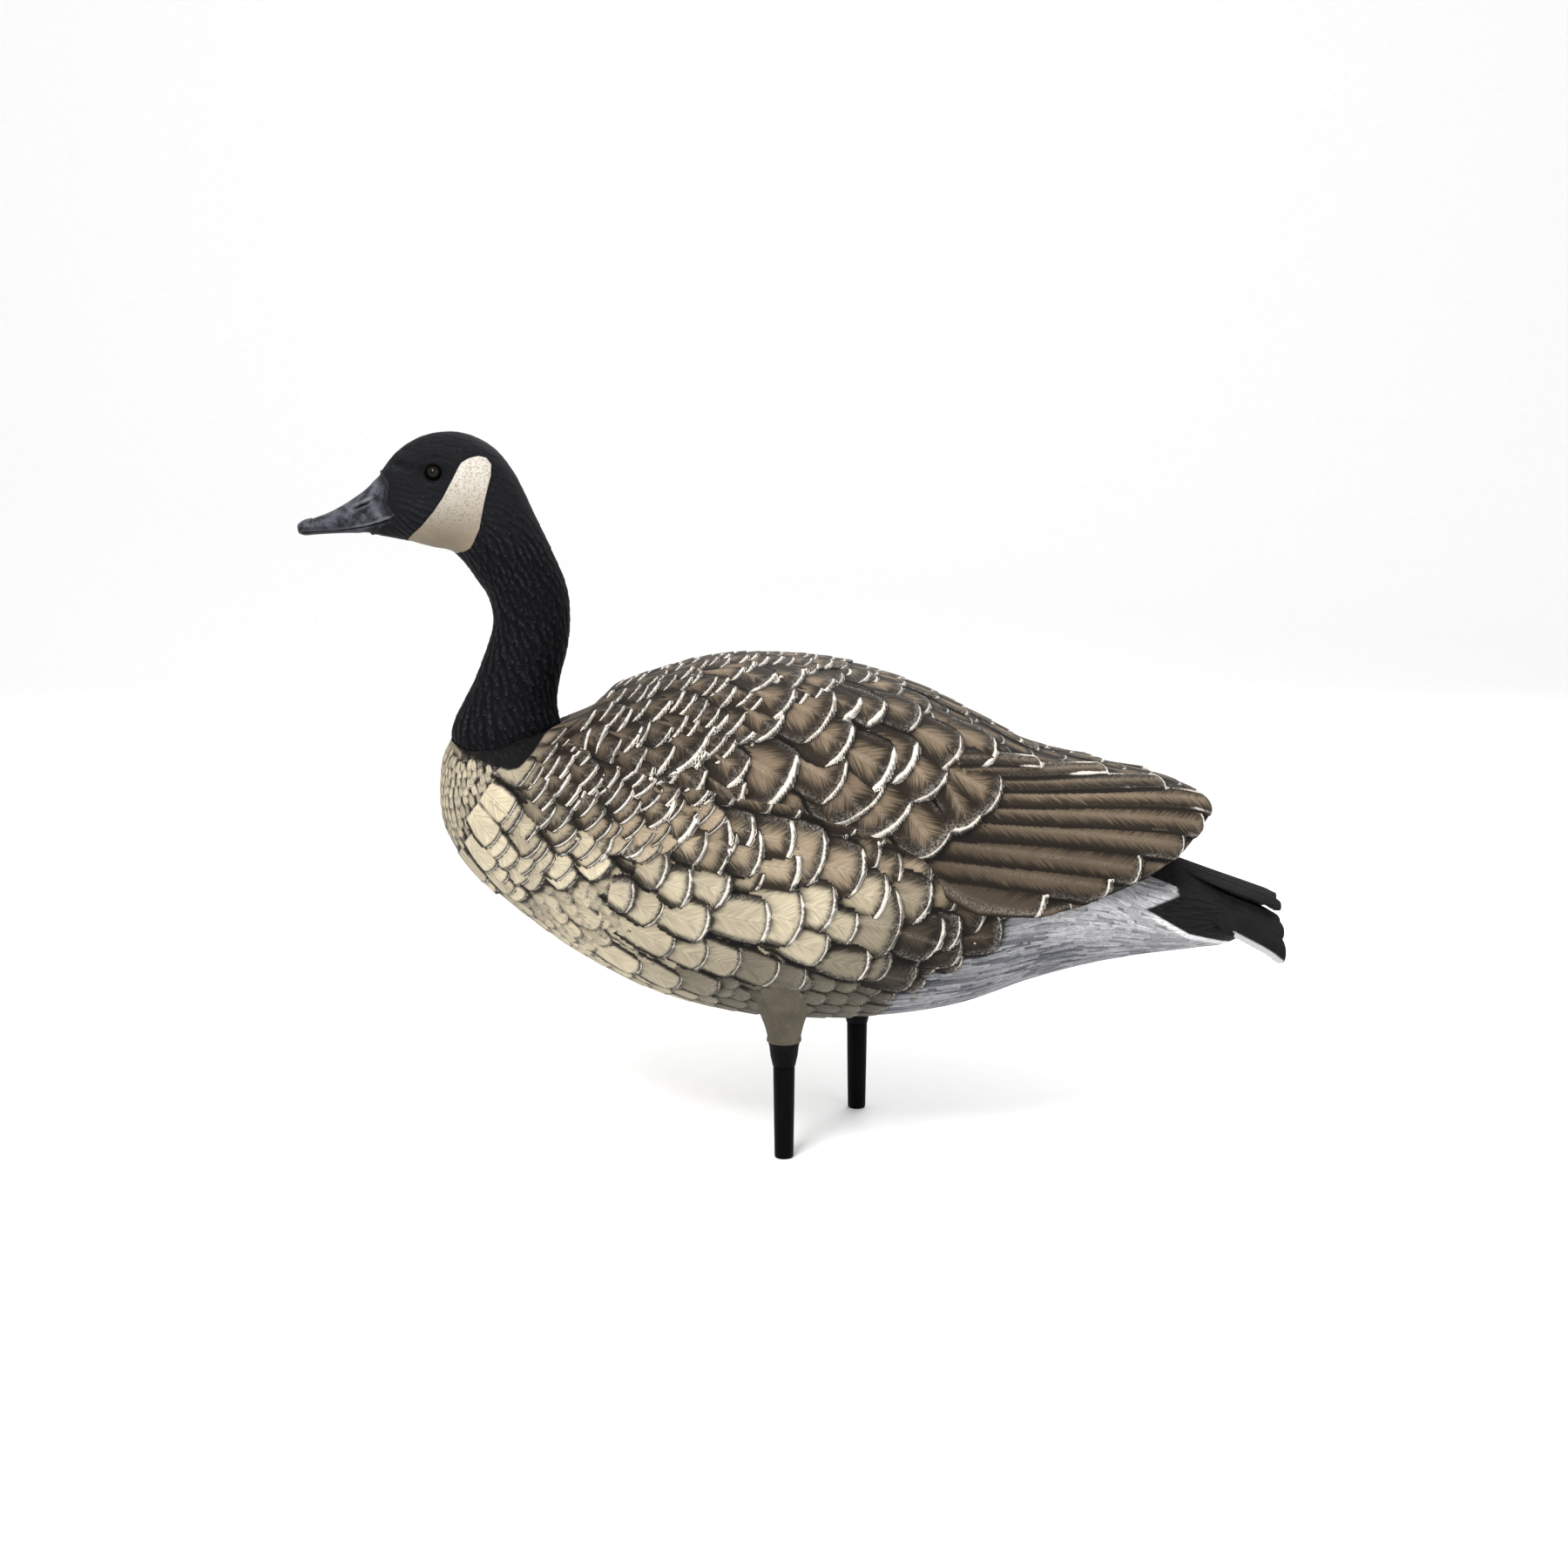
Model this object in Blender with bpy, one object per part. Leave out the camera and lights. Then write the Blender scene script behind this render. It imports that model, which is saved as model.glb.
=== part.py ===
"""Full-body Canada goose field decoy: a hollow painted body on two leg posts.

Metres, +Z up. The bill faces -X and the goose's left side faces -Y. The origin is on the ground,
midway between the lower ends of the two leg posts. The right leg stands one stagger behind the left.
"""

import math

import bmesh
import bpy
from mathutils import Matrix, Vector

# ---------------------------------------------------------------- driving dimensions
WALL = 0.0024  # moulded wall of the body and the neck
GAP = 0.0004  # air between two pieces that sit face to face
SQUARENESS = 2.15  # exponent of the body's rounded sections, 2 is an ellipse

NECK_X = -0.2435  # vertical axis that the neck turns about
NECK_R = 0.0415  # the neck's round base, inside the collar
NECK_BASE_Z = 0.285  # lower rim of the neck
COLLAR_R = 0.0425  # round hole that the neck stands in
SOCKET_WALL = 0.0030
SPIGOT_R = 0.0300  # the plug that the neck stands on
SPIGOT_BORE_R = 0.0303
SOCKET_FLOOR_Z = 0.2830
SOCKET_END_Z = 0.2380
WASHER_T = 0.0014

LEG_Y = 0.060  # each post's distance from the mid-plane
LEG_STAGGER = 0.030  # the left post stands this far ahead of the origin, the right one behind
POST_TIP_R = 0.0073
POST_TOP_R = 0.0083
ANKLE_Z = 0.0720  # where the post meets its ferrule
THIGH_END_Z = 0.0910  # lower rim of the thigh cone
THIGH_END_R = 0.0122
LEG_SPIGOT_R = 0.0090
LEG_BORE_R = 0.0093
LEG_BORE_END_Z = 0.1480
POST_CORE_R = 0.0055
POST_CORE_END_Z = 0.1300
LEG_RING_Z = 0.1200

EYE_R = 0.0062
EYE_AT = Vector((-0.2895, 0.0252, 0.5165))
TAIL_SCREW_Y = 0.0170

# Sections from the neck stump to the tail root. Each: top point (x, z), bottom point (x, z), half width.
BODY = [
    (-0.2120, 0.3540, -0.2680, 0.3540, 0.026),
    (-0.2050, 0.3270, -0.2870, 0.3130, 0.036),
    (-0.1940, 0.3300, -0.2930, 0.2870, 0.050),
    (-0.1730, 0.3385, -0.2915, 0.2520, 0.068),
    (-0.1500, 0.3510, -0.2760, 0.2230, 0.084),
    (-0.1200, 0.3610, -0.2440, 0.1920, 0.099),
    (-0.0820, 0.3705, -0.1900, 0.1520, 0.112),
    (-0.0340, 0.3720, -0.1250, 0.1190, 0.120),
    (0.0150, 0.3670, -0.0500, 0.1020, 0.122),
    (0.0660, 0.3520, 0.0300, 0.1000, 0.118),
    (0.1130, 0.3270, 0.1000, 0.1090, 0.107),
    (0.1550, 0.2980, 0.1600, 0.1290, 0.092),
    (0.1950, 0.2600, 0.2050, 0.1410, 0.078),
    (0.2320, 0.2235, 0.2450, 0.1485, 0.066),
    (0.2700, 0.2125, 0.2850, 0.1530, 0.056),
    (0.3000, 0.2010, 0.3100, 0.1560, 0.046),
    (0.3220, 0.1880, 0.3260, 0.1640, 0.034),
]

# The back shell's outer sections, from the mantle to the wing tips.
BACK = [
    (-0.1840, 0.3395, -0.2970, 0.2650, 0.0630),
    (-0.1510, 0.3560, -0.2800, 0.2185, 0.0890),
    (-0.1210, 0.3660, -0.2480, 0.1875, 0.1040),
    (-0.0820, 0.3757, -0.1920, 0.1470, 0.1170),
    (-0.0340, 0.3772, -0.1260, 0.1140, 0.1250),
    (0.0150, 0.3720, -0.0500, 0.0970, 0.1270),
    (0.0660, 0.3575, 0.0300, 0.0950, 0.1230),
    (0.1150, 0.3340, 0.1020, 0.1040, 0.1125),
    (0.1580, 0.3115, 0.1560, 0.1240, 0.0990),
    (0.2000, 0.3005, 0.2000, 0.1480, 0.0840),
    (0.2400, 0.2915, 0.2400, 0.1720, 0.0670),
    (0.2700, 0.2830, 0.2700, 0.2050, 0.0490),
    (0.2890, 0.2720, 0.2890, 0.2350, 0.0300),
    (0.2980, 0.2650, 0.2980, 0.2480, 0.0130),
]

# The back shell's lower rim on each side, as (x, z): shoulder, wing edge, wing tip.
RIM = [
    (-0.300, 0.322),
    (-0.190, 0.318),
    (-0.150, 0.302),
    (-0.110, 0.290),
    (-0.030, 0.276),
    (0.025, 0.258),
    (0.066, 0.240),
    (0.088, 0.213),
    (0.110, 0.200),
    (0.156, 0.195),
    (0.192, 0.202),
    (0.240, 0.218),
    (0.269, 0.233),
    (0.290, 0.254),
    (0.300, 0.262),
]

# Neck and head sections, from the collar to the bill tip.
# Each: back or crown point (x, z), throat or chin point (x, z), half width.
NECK = [
    (-0.2030, 0.3250, -0.2840, 0.3250, 0.0405),
    (-0.2055, 0.3430, -0.2755, 0.3430, 0.0350),
    (-0.2025, 0.3630, -0.2670, 0.3590, 0.0315),
    (-0.1965, 0.3860, -0.2575, 0.3820, 0.0295),
    (-0.1943, 0.4080, -0.2512, 0.4030, 0.0285),
    (-0.1965, 0.4310, -0.2540, 0.4230, 0.0285),
    (-0.2060, 0.4560, -0.2620, 0.4360, 0.0285),
    (-0.2190, 0.4850, -0.2710, 0.4490, 0.0290),
    (-0.2330, 0.5150, -0.2790, 0.4570, 0.0305),
    (-0.2490, 0.5355, -0.2860, 0.4600, 0.0318),
    (-0.2690, 0.5458, -0.2950, 0.4615, 0.0320),
    (-0.2880, 0.5472, -0.3050, 0.4640, 0.0305),
    (-0.3050, 0.5430, -0.3150, 0.4668, 0.0268),
    (-0.3210, 0.5330, -0.3250, 0.4688, 0.0215),
    (-0.3340, 0.5180, -0.3340, 0.4700, 0.0172),
    (-0.3440, 0.5065, -0.3440, 0.4710, 0.0142),
    (-0.3570, 0.4970, -0.3570, 0.4718, 0.0124),
    (-0.3720, 0.4885, -0.3720, 0.4714, 0.0116),
    (-0.3850, 0.4835, -0.3850, 0.4706, 0.0112),
    (-0.3930, 0.4813, -0.3930, 0.4700, 0.0090),
    (-0.3975, 0.4785, -0.3975, 0.4712, 0.0045),
]
HOLLOW_NECK_SECTIONS = 12  # the cavity ends behind the bill

# The tail fan, root to end: x, height of the middle, droop of the sides, half width.
TAIL = [
    (0.2440, 0.2290, 0.012, 0.034),
    (0.2700, 0.2225, 0.017, 0.044),
    (0.3000, 0.2115, 0.023, 0.054),
    (0.3300, 0.2010, 0.027, 0.061),
    (0.3480, 0.1945, 0.028, 0.062),
    (0.3540, 0.1925, 0.027, 0.056),
]
TAIL_THICK = 0.0055


# ---------------------------------------------------------------- scene helpers
def clear_scene():
    for obj in list(bpy.data.objects):
        bpy.data.objects.remove(obj, do_unlink=True)


def material(name, colour, roughness):
    made = bpy.data.materials.get(name)
    if made is None:
        made = bpy.data.materials.new(name)
        made.use_nodes = True
        shader = made.node_tree.nodes["Principled BSDF"]
        shader.inputs["Base Color"].default_value = (*colour, 1.0)
        shader.inputs["Roughness"].default_value = roughness
        shader.inputs["Metallic"].default_value = 0.0
    return made


def paint(kind):
    """The finish of one kind of piece."""
    finishes = {
        "tan_plastic": ((0.46, 0.39, 0.28), 0.70),
        "brown_plastic": ((0.19, 0.14, 0.10), 0.65),
        "black_plastic": ((0.02, 0.02, 0.022), 0.55),
        "eye": ((0.01, 0.008, 0.006), 0.08),
        "socket_plastic": ((0.05, 0.05, 0.05), 0.50),
        "rubber": ((0.03, 0.03, 0.03), 0.85),
        "steel": ((0.55, 0.55, 0.56), 0.35),
    }
    colour, roughness = finishes[kind]
    made = material(kind, colour, roughness)
    if kind == "steel":
        made.node_tree.nodes["Principled BSDF"].inputs["Metallic"].default_value = 1.0
    return made


def finish_mesh(name, bm, kind=None, smooth_deg=40.0):
    """Turns a bmesh into a named object, with its normals out and round stretches smooth."""
    bmesh.ops.recalc_face_normals(bm, faces=bm.faces)
    mesh = bpy.data.meshes.new(name)
    bm.to_mesh(mesh)
    bm.free()
    mesh.shade_smooth()
    mesh.set_sharp_from_angle(angle=math.radians(smooth_deg))
    obj = bpy.data.objects.new(name, mesh)
    bpy.context.scene.collection.objects.link(obj)
    if kind:
        mesh.materials.append(paint(kind))
    return obj


def helper(obj):
    """Marks a cutter: it shapes other pieces and isn't one itself."""
    obj.hide_render = True
    obj.display_type = "WIRE"
    return obj


def cut(obj, cutter):
    boolean = obj.modifiers.new("cut_" + cutter.name, "BOOLEAN")
    boolean.operation = "DIFFERENCE"
    boolean.solver = "EXACT"
    boolean.object = helper(cutter)


def unite(obj, other):
    boolean = obj.modifiers.new("join_" + other.name, "BOOLEAN")
    boolean.operation = "UNION"
    boolean.solver = "EXACT"
    boolean.object = helper(other)


# ---------------------------------------------------------------- shape helpers
def spline(rows, u):
    """The row at fractional index u, on a smooth curve through all rows."""
    last = len(rows) - 1
    i = min(int(u), last - 1)
    f = u - i
    a, b, c, d = (rows[min(max(i + k, 0), last)] for k in (-1, 0, 1, 2))
    return tuple(
        0.5 * (2 * q + (r - p) * f + (2 * p - 5 * q + 4 * r - s) * f * f + (3 * q - p - 3 * r + s) * f**3)
        for p, q, r, s in zip(a, b, c, d)
    )


def line_height(points, x):
    """Height of a broken line at x."""
    for (x0, z0), (x1, z1) in zip(points, points[1:]):
        if x <= x1:
            return z0 + (z1 - z0) * max(0.0, x - x0) / (x1 - x0)
    return points[-1][1]


def section_point(row, angle, inset=0.0, power=SQUARENESS):
    """A point of a section. Angle 0 is the top, pi the bottom, and it grows round the left side."""
    top = Vector((row[0], 0.0, row[1]))
    bottom = Vector((row[2], 0.0, row[3]))
    middle = (top + bottom) / 2
    up = (top - bottom).normalized()
    high = (top - bottom).length / 2 - inset
    wide = row[4] - inset
    c, s = math.cos(angle), math.sin(angle)
    rise = math.copysign(abs(c) ** (2 / power), c)
    side = math.copysign(abs(s) ** (2 / power), s)
    return middle + up * high * rise - Vector((0.0, 1.0, 0.0)) * wide * side


def loft(name, rows, along, around, kind=None, inset=0.0, first=0.0, last=None, power=SQUARENESS):
    """A closed solid through the sections, with flat ends."""
    last = len(rows) - 1 if last is None else last
    bm = bmesh.new()
    rings = []
    for i in range(along + 1):
        row = spline(rows, first + (last - first) * i / along)
        ring = [section_point(row, 2 * math.pi * k / around, inset, power) for k in range(around)]
        rings.append([bm.verts.new(p) for p in ring])
    for near, far in zip(rings, rings[1:]):
        for k in range(around):
            n = (k + 1) % around
            bm.faces.new((near[k], near[n], far[n], far[k]))
    bm.faces.new(rings[0])
    bm.faces.new(rings[-1][::-1])
    return finish_mesh(name, bm, kind)


def lathe(name, profile, at, kind=None, steps=20):
    """A solid of revolution about the vertical line through at. The profile is (radius, height) points."""
    bm = bmesh.new()
    corners = [bm.verts.new((r, 0, z)) for r, z in profile]
    on_axis = profile[0][0] == 0 and profile[-1][0] == 0
    edges = [bm.edges.new(pair) for pair in zip(corners, corners[1:])]
    if not on_axis:
        edges.append(bm.edges.new((corners[-1], corners[0])))
    bmesh.ops.spin(
        bm,
        geom=corners + edges,
        cent=(0, 0, 0),
        axis=(0, 0, 1),
        angle=2 * math.pi,
        steps=steps,
        use_merge=True,
    )
    bmesh.ops.remove_doubles(bm, verts=bm.verts, dist=1e-5)
    bmesh.ops.dissolve_degenerate(bm, edges=bm.edges, dist=1e-6)
    turned = finish_mesh(name, bm, kind, 30.0)
    turned.location = (at[0], at[1], 0)
    return turned


def rod(name, radius, low, high, at, kind=None, steps=20):
    return lathe(name, [(0, low), (radius, low), (radius, high), (0, high)], at, kind, steps)


def tube(name, inner, outer, low, high, at, kind=None, steps=20):
    return lathe(name, [(inner, low), (outer, low), (outer, high), (inner, high)], at, kind, steps)


def round_ring(name, middle_r, thick_r, z, at, kind, steps=20, sides=8):
    """A rubber ring of round section."""
    turns = [2 * math.pi * (k + 0.5) / sides for k in range(sides)]
    profile = [(middle_r + thick_r * math.cos(a), z + thick_r * math.sin(a)) for a in turns]
    return lathe(name, profile, at, kind, steps)


def ball(name, radius, at, kind=None, rings=10, segments=16):
    bm = bmesh.new()
    bmesh.ops.create_uvsphere(bm, u_segments=segments, v_segments=rings, radius=radius)
    made = finish_mesh(name, bm, kind)
    made.location = at
    return made


# ---------------------------------------------------------------- the body
def leg_places():
    return {"left": (-LEG_STAGGER, -LEG_Y), "right": (LEG_STAGGER, LEG_Y)}


def thigh(name, at):
    """The thigh cone that flares into the belly."""
    profile = [
        (0, THIGH_END_Z),
        (THIGH_END_R, THIGH_END_Z),
        (THIGH_END_R + 0.0005, THIGH_END_Z + 0.004),
        (0.0158, 0.1060),
        (0.0205, 0.1190),
        (0.0270, 0.1300),
        (0.0270, 0.1500),
        (0, 0.1500),
    ]
    return lathe(name, profile, at)


def body_cavity():
    """The hollow inside the body, with the neck socket and the leg sockets left standing in it."""
    cavity = loft("cavity", BODY, 16, 18, inset=WALL, first=2.6, last=15.4)
    boss = [
        (0, SOCKET_END_Z),
        (SPIGOT_BORE_R + SOCKET_WALL, SOCKET_END_Z),
        (SPIGOT_BORE_R + SOCKET_WALL, SOCKET_FLOOR_Z - 2 * SOCKET_WALL),
        (COLLAR_R + SOCKET_WALL, SOCKET_FLOOR_Z),
        (COLLAR_R + SOCKET_WALL, 0.42),
        (0, 0.42),
    ]
    cut(cavity, lathe("neck_boss", boss, (NECK_X, 0)))
    for side, at in leg_places().items():
        top = LEG_BORE_END_Z + SOCKET_WALL
        cut(cavity, rod(f"{side}_leg_boss", LEG_BORE_R + SOCKET_WALL, 0.05, top, at))
    cut(cavity, tail_solid("tail_seat_wall", 0.05, -TAIL_THICK - GAP - WALL, spread=WALL))
    for side, at, _ in screw_places():
        cut(cavity, rod(f"{side}_screw_boss", 0.0048, 0.196, 0.30, at, steps=12))
    return cavity


def access_hole():
    """The opening under the back shell, through which the sockets are fitted."""
    bm = bmesh.new()
    turn = Matrix.Translation((-0.045, 0, 0.37)) @ Matrix.Diagonal((0.100, 0.066, 0.10, 1))
    bmesh.ops.create_cone(bm, cap_ends=True, segments=32, radius1=1, radius2=1, depth=2, matrix=turn)
    return finish_mesh("access_hole", bm)


def body_shell():
    body = loft("body_shell", BODY, 26, 26, "tan_plastic")
    for side, at in leg_places().items():
        unite(body, thigh(f"{side}_thigh", at))
    cut(body, body_cavity())
    cut(body, access_hole())
    bore = [
        (0, SOCKET_END_Z - 0.01),
        (SPIGOT_BORE_R, SOCKET_END_Z - 0.01),
        (SPIGOT_BORE_R, SOCKET_FLOOR_Z),
        (COLLAR_R, SOCKET_FLOOR_Z),
        (COLLAR_R, 0.44),
        (0, 0.44),
    ]
    cut(body, lathe("neck_bore", bore, (NECK_X, 0), steps=36))
    for side, at in leg_places().items():
        cut(body, rod(f"{side}_leg_bore", LEG_BORE_R, 0.08, LEG_BORE_END_Z, at, steps=22))
    cut(body, tail_solid("tail_seat", 0.05, -TAIL_THICK - GAP, spread=GAP))
    for side, at, _ in screw_places():
        cut(body, rod(f"{side}_screw_bore", 0.0018, 0.198, 0.30, at, steps=12))
    return body


def rim_angle(row):
    """The angle at which a back section reaches the shell's lower rim."""
    steps = 240
    for i in range(1, steps):
        angle = math.pi * i / steps
        point = section_point(row, angle)
        if point.z < line_height(RIM, point.x):
            return angle
    return math.pi / 2


def back_shell(along=20, across=9):
    """The back with both folded wings, one shell that laps over the body."""
    bm = bmesh.new()
    rows = [spline(BACK, (len(BACK) - 1) * i / along) for i in range(along + 1)]
    skins = []
    for inset in (0.0, WALL - 0.0004):
        skin = []
        for row in rows:
            limit = max(rim_angle(row), 0.35)
            angles = [limit * k / across for k in range(-across, across + 1)]
            thin = min(inset, row[4] * 0.3)
            skin.append([bm.verts.new(section_point(row, angle, thin)) for angle in angles])
        skins.append(skin)
    outer, inner = skins
    width = 2 * across
    for i in range(along):
        for k in range(width):
            bm.faces.new((outer[i][k], outer[i][k + 1], outer[i + 1][k + 1], outer[i + 1][k]))
            bm.faces.new((inner[i][k], inner[i + 1][k], inner[i + 1][k + 1], inner[i][k + 1]))
        for k in (0, width):
            bm.faces.new((outer[i][k], outer[i + 1][k], inner[i + 1][k], inner[i][k]))
    for i in (0, along):
        for k in range(width):
            bm.faces.new((outer[i][k], outer[i][k + 1], inner[i][k + 1], inner[i][k]))
    return finish_mesh("back_shell", bm, "brown_plastic")


def tail_height(row, share):
    """Height of the tail's upper face, at a share of its half width from the middle."""
    return row[1] - row[2] * share * share


def tail_solid(name, over, under, spread=0.0, kind=None, along=7, across=5):
    """A curved slab along the tail, between two heights measured from its upper face."""
    bm = bmesh.new()
    shares = [k / across for k in range(-across, across + 1)]
    skins = []
    for offset in (over, under):
        skin = []
        for i in range(along + 1):
            row = spline(TAIL, (len(TAIL) - 1) * i / along)
            x = row[0] + spread * (2 * i / along - 1)
            wide = row[3] + spread
            points = [(x - 0.004 * s * s, wide * s, tail_height(row, s) + offset) for s in shares]
            skin.append([bm.verts.new(p) for p in points])
        skins.append(skin)
    upper, lower = skins
    width = 2 * across
    for i in range(along):
        for k in range(width):
            bm.faces.new((upper[i][k], upper[i][k + 1], upper[i + 1][k + 1], upper[i + 1][k]))
            bm.faces.new((lower[i][k], lower[i + 1][k], lower[i + 1][k + 1], lower[i][k + 1]))
        for k in (0, width):
            bm.faces.new((upper[i][k], upper[i + 1][k], lower[i + 1][k], lower[i][k]))
    for i in (0, along):
        for k in range(width):
            bm.faces.new((upper[i][k], upper[i][k + 1], lower[i][k + 1], lower[i][k]))
    return finish_mesh(name, bm, kind)


def screw_places():
    """Each tail screw's side, place and the height that its head bears on."""
    u = 0.47
    row = spline(TAIL, u)
    seat = tail_height(row, TAIL_SCREW_Y / row[3]) - 0.0022
    return [(side, (row[0], y), seat) for side, y in (("left", -TAIL_SCREW_Y), ("right", TAIL_SCREW_Y))]


def tail_fan():
    """The drooping black tail, screwed down on the rump under the wing tips."""
    tail = tail_solid("tail_fan", 0.0, -TAIL_THICK, kind="black_plastic")
    for side, at, seat in screw_places():
        cut(tail, rod(f"{side}_tail_hole", 0.0022, 0.19, 0.25, at, steps=12))
        cut(tail, rod(f"{side}_head_recess", 0.0044, seat, 0.25, at, steps=16))
    return tail


def tail_screws():
    """Pan-head screws through the tail's root, hidden under the wing tips."""
    for side, at, seat in screw_places():
        head = seat + GAP / 2
        profile = [
            (0, 0.1995),
            (0.0008, 0.2000),
            (0.0015, 0.2030),
            (0.0015, head),
            (0.0036, head),
            (0.0034, head + 0.0012),
            (0.0020, head + 0.0022),
            (0, head + 0.0024),
        ]
        lathe(f"tail_screw_{side}", profile, at, "steel", steps=12)


# ---------------------------------------------------------------- neck and head
def neck_rows():
    """The round base that stands in the collar, then the neck and the head."""
    front, back = NECK_X - NECK_R, NECK_X + NECK_R
    base = [(back, NECK_BASE_Z, front, NECK_BASE_Z, NECK_R), (back, 0.3050, front, 0.3050, NECK_R)]
    return base + NECK


def neck_head():
    rows = neck_rows()
    neck = loft("neck_head", rows, 40, 20, "black_plastic", power=2.0)
    mouth = (rows[0][0], NECK_BASE_Z - 0.01, rows[0][2], NECK_BASE_Z - 0.01, NECK_R)
    hollow = [mouth] + rows[1:]
    cut(neck, loft("neck_cavity", hollow, 16, 14, inset=WALL, last=HOLLOW_NECK_SECTIONS, power=2.0))
    for side, at in eye_places().items():
        cut(neck, ball(f"{side}_eye_pocket", EYE_R + GAP, at))
    return neck


def eye_places():
    return {"left": Vector((EYE_AT.x, -EYE_AT.y, EYE_AT.z)), "right": EYE_AT}


def eyes():
    return [ball(f"{side}_eye", EYE_R, at, "eye") for side, at in eye_places().items()]


def neck_plug():
    """The spigot glued into the neck. It turns in the body's socket and lifts out of it."""
    seat = NECK_BASE_Z
    groove = 0.0022
    profile = [
        (0.0260, SOCKET_END_Z + 0.004),
        (SPIGOT_R - 0.0015, SOCKET_END_Z + 0.004),
        (SPIGOT_R, SOCKET_END_Z + 0.007),
        (SPIGOT_R, 0.2585),
        (SPIGOT_R - groove, 0.2585),
        (SPIGOT_R - groove, 0.2635),
        (SPIGOT_R, 0.2635),
        (SPIGOT_R, seat),
        (NECK_R - WALL - 0.0016, seat + GAP),
        (NECK_R - WALL - 0.0016, seat + 0.0060),
        (0.0260, seat + 0.0060),
    ]
    return lathe("neck_plug", profile, (NECK_X, 0), "socket_plastic", steps=24)


def neck_oring():
    """The rubber ring in the plug's groove."""
    thick = 0.0010
    middle = SPIGOT_BORE_R - thick - GAP / 2
    return round_ring("neck_oring", middle, thick, 0.2610, (NECK_X, 0), "rubber", steps=24)


def neck_washer():
    """The flat washer on the socket's floor, which the neck rests on."""
    low = SOCKET_FLOOR_Z + GAP / 2
    high = low + WASHER_T
    return tube("neck_washer", SPIGOT_R + GAP, NECK_R - 0.0015, low, high, (NECK_X, 0), "rubber", steps=24)


# ---------------------------------------------------------------- legs
def joint_empty(name, at, pieces):
    """An empty on a joint's axis, which carries the pieces that move there."""
    empty = bpy.data.objects.new(name, None)
    empty.location = at
    bpy.context.scene.collection.objects.link(empty)
    bpy.context.view_layer.update()
    for piece in pieces:
        piece.parent = empty
        piece.matrix_parent_inverse = empty.matrix_world.inverted()
    return empty


def leg(side, at):
    """A tapered post in its ankle ferrule. The ferrule's spigot pushes up into the thigh."""
    ring_r = 0.0008
    top = THIGH_END_Z - GAP
    ferrule = [
        (POST_CORE_R + GAP, ANKLE_Z),
        (POST_TOP_R + 0.0002, ANKLE_Z),
        (0.0098, ANKLE_Z + 0.006),
        (0.0117, top - 0.001),
        (0.0117, top),
        (LEG_SPIGOT_R, top),
        (LEG_SPIGOT_R, LEG_RING_Z - 0.0012),
        (LEG_SPIGOT_R - 0.0018, LEG_RING_Z - 0.0012),
        (LEG_SPIGOT_R - 0.0018, LEG_RING_Z + 0.0012),
        (LEG_SPIGOT_R, LEG_RING_Z + 0.0012),
        (LEG_SPIGOT_R, 0.1440),
        (LEG_SPIGOT_R - 0.0010, 0.1455),
        (POST_CORE_R + GAP, 0.1455),
    ]
    shell = lathe(f"{side}_ankle_ferrule", ferrule, at, "socket_plastic")
    post = [
        (0, 0),
        (POST_TIP_R - 0.0006, 0),
        (POST_TIP_R, 0.0006),
        (POST_TOP_R, ANKLE_Z - GAP),
        (POST_CORE_R, ANKLE_Z - GAP),
        (POST_CORE_R, POST_CORE_END_Z),
        (0, POST_CORE_END_Z),
    ]
    shaft = lathe(f"{side}_leg_post", post, at, "black_plastic")
    pin_z = 0.1060
    for piece in (shell, shaft):
        cut(piece, cross_rod(f"{piece.name}_pin_hole", 0.0015 + GAP, 0.03, at, pin_z))
    pin = cross_rod(f"{side}_leg_pin", 0.0015, 2 * LEG_SPIGOT_R - 0.0012, at, pin_z, "steel")
    ring_middle = LEG_BORE_R - ring_r - GAP / 2
    ring = round_ring(f"{side}_leg_oring", ring_middle, ring_r, LEG_RING_Z, at, "rubber", sides=6)
    joint_empty(f"{side}_leg_pull", (*at, THIGH_END_Z), [shell, shaft, pin, ring])


def cross_rod(name, radius, length, at, z, kind=None):
    """A short rod across a leg, along X."""
    bm = bmesh.new()
    bmesh.ops.create_cone(bm, cap_ends=True, segments=12, radius1=radius, radius2=radius, depth=length)
    made = finish_mesh(name, bm, kind, 30.0)
    made.location = (at[0], at[1], z)
    made.rotation_euler = (0, math.pi / 2, 0)
    return made


def main():
    clear_scene()
    body_shell()
    back_shell()
    tail_fan()
    tail_screws()
    neck_washer()
    moving = [neck_head(), neck_plug(), neck_oring(), *eyes()]
    joint_empty("neck_turn", (NECK_X, 0, NECK_BASE_Z), moving)
    for side, at in leg_places().items():
        leg(side, at)


main()
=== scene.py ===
"""Looks of the goose decoy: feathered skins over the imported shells, in the part's frame. Metres, +Z up."""

import math

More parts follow.
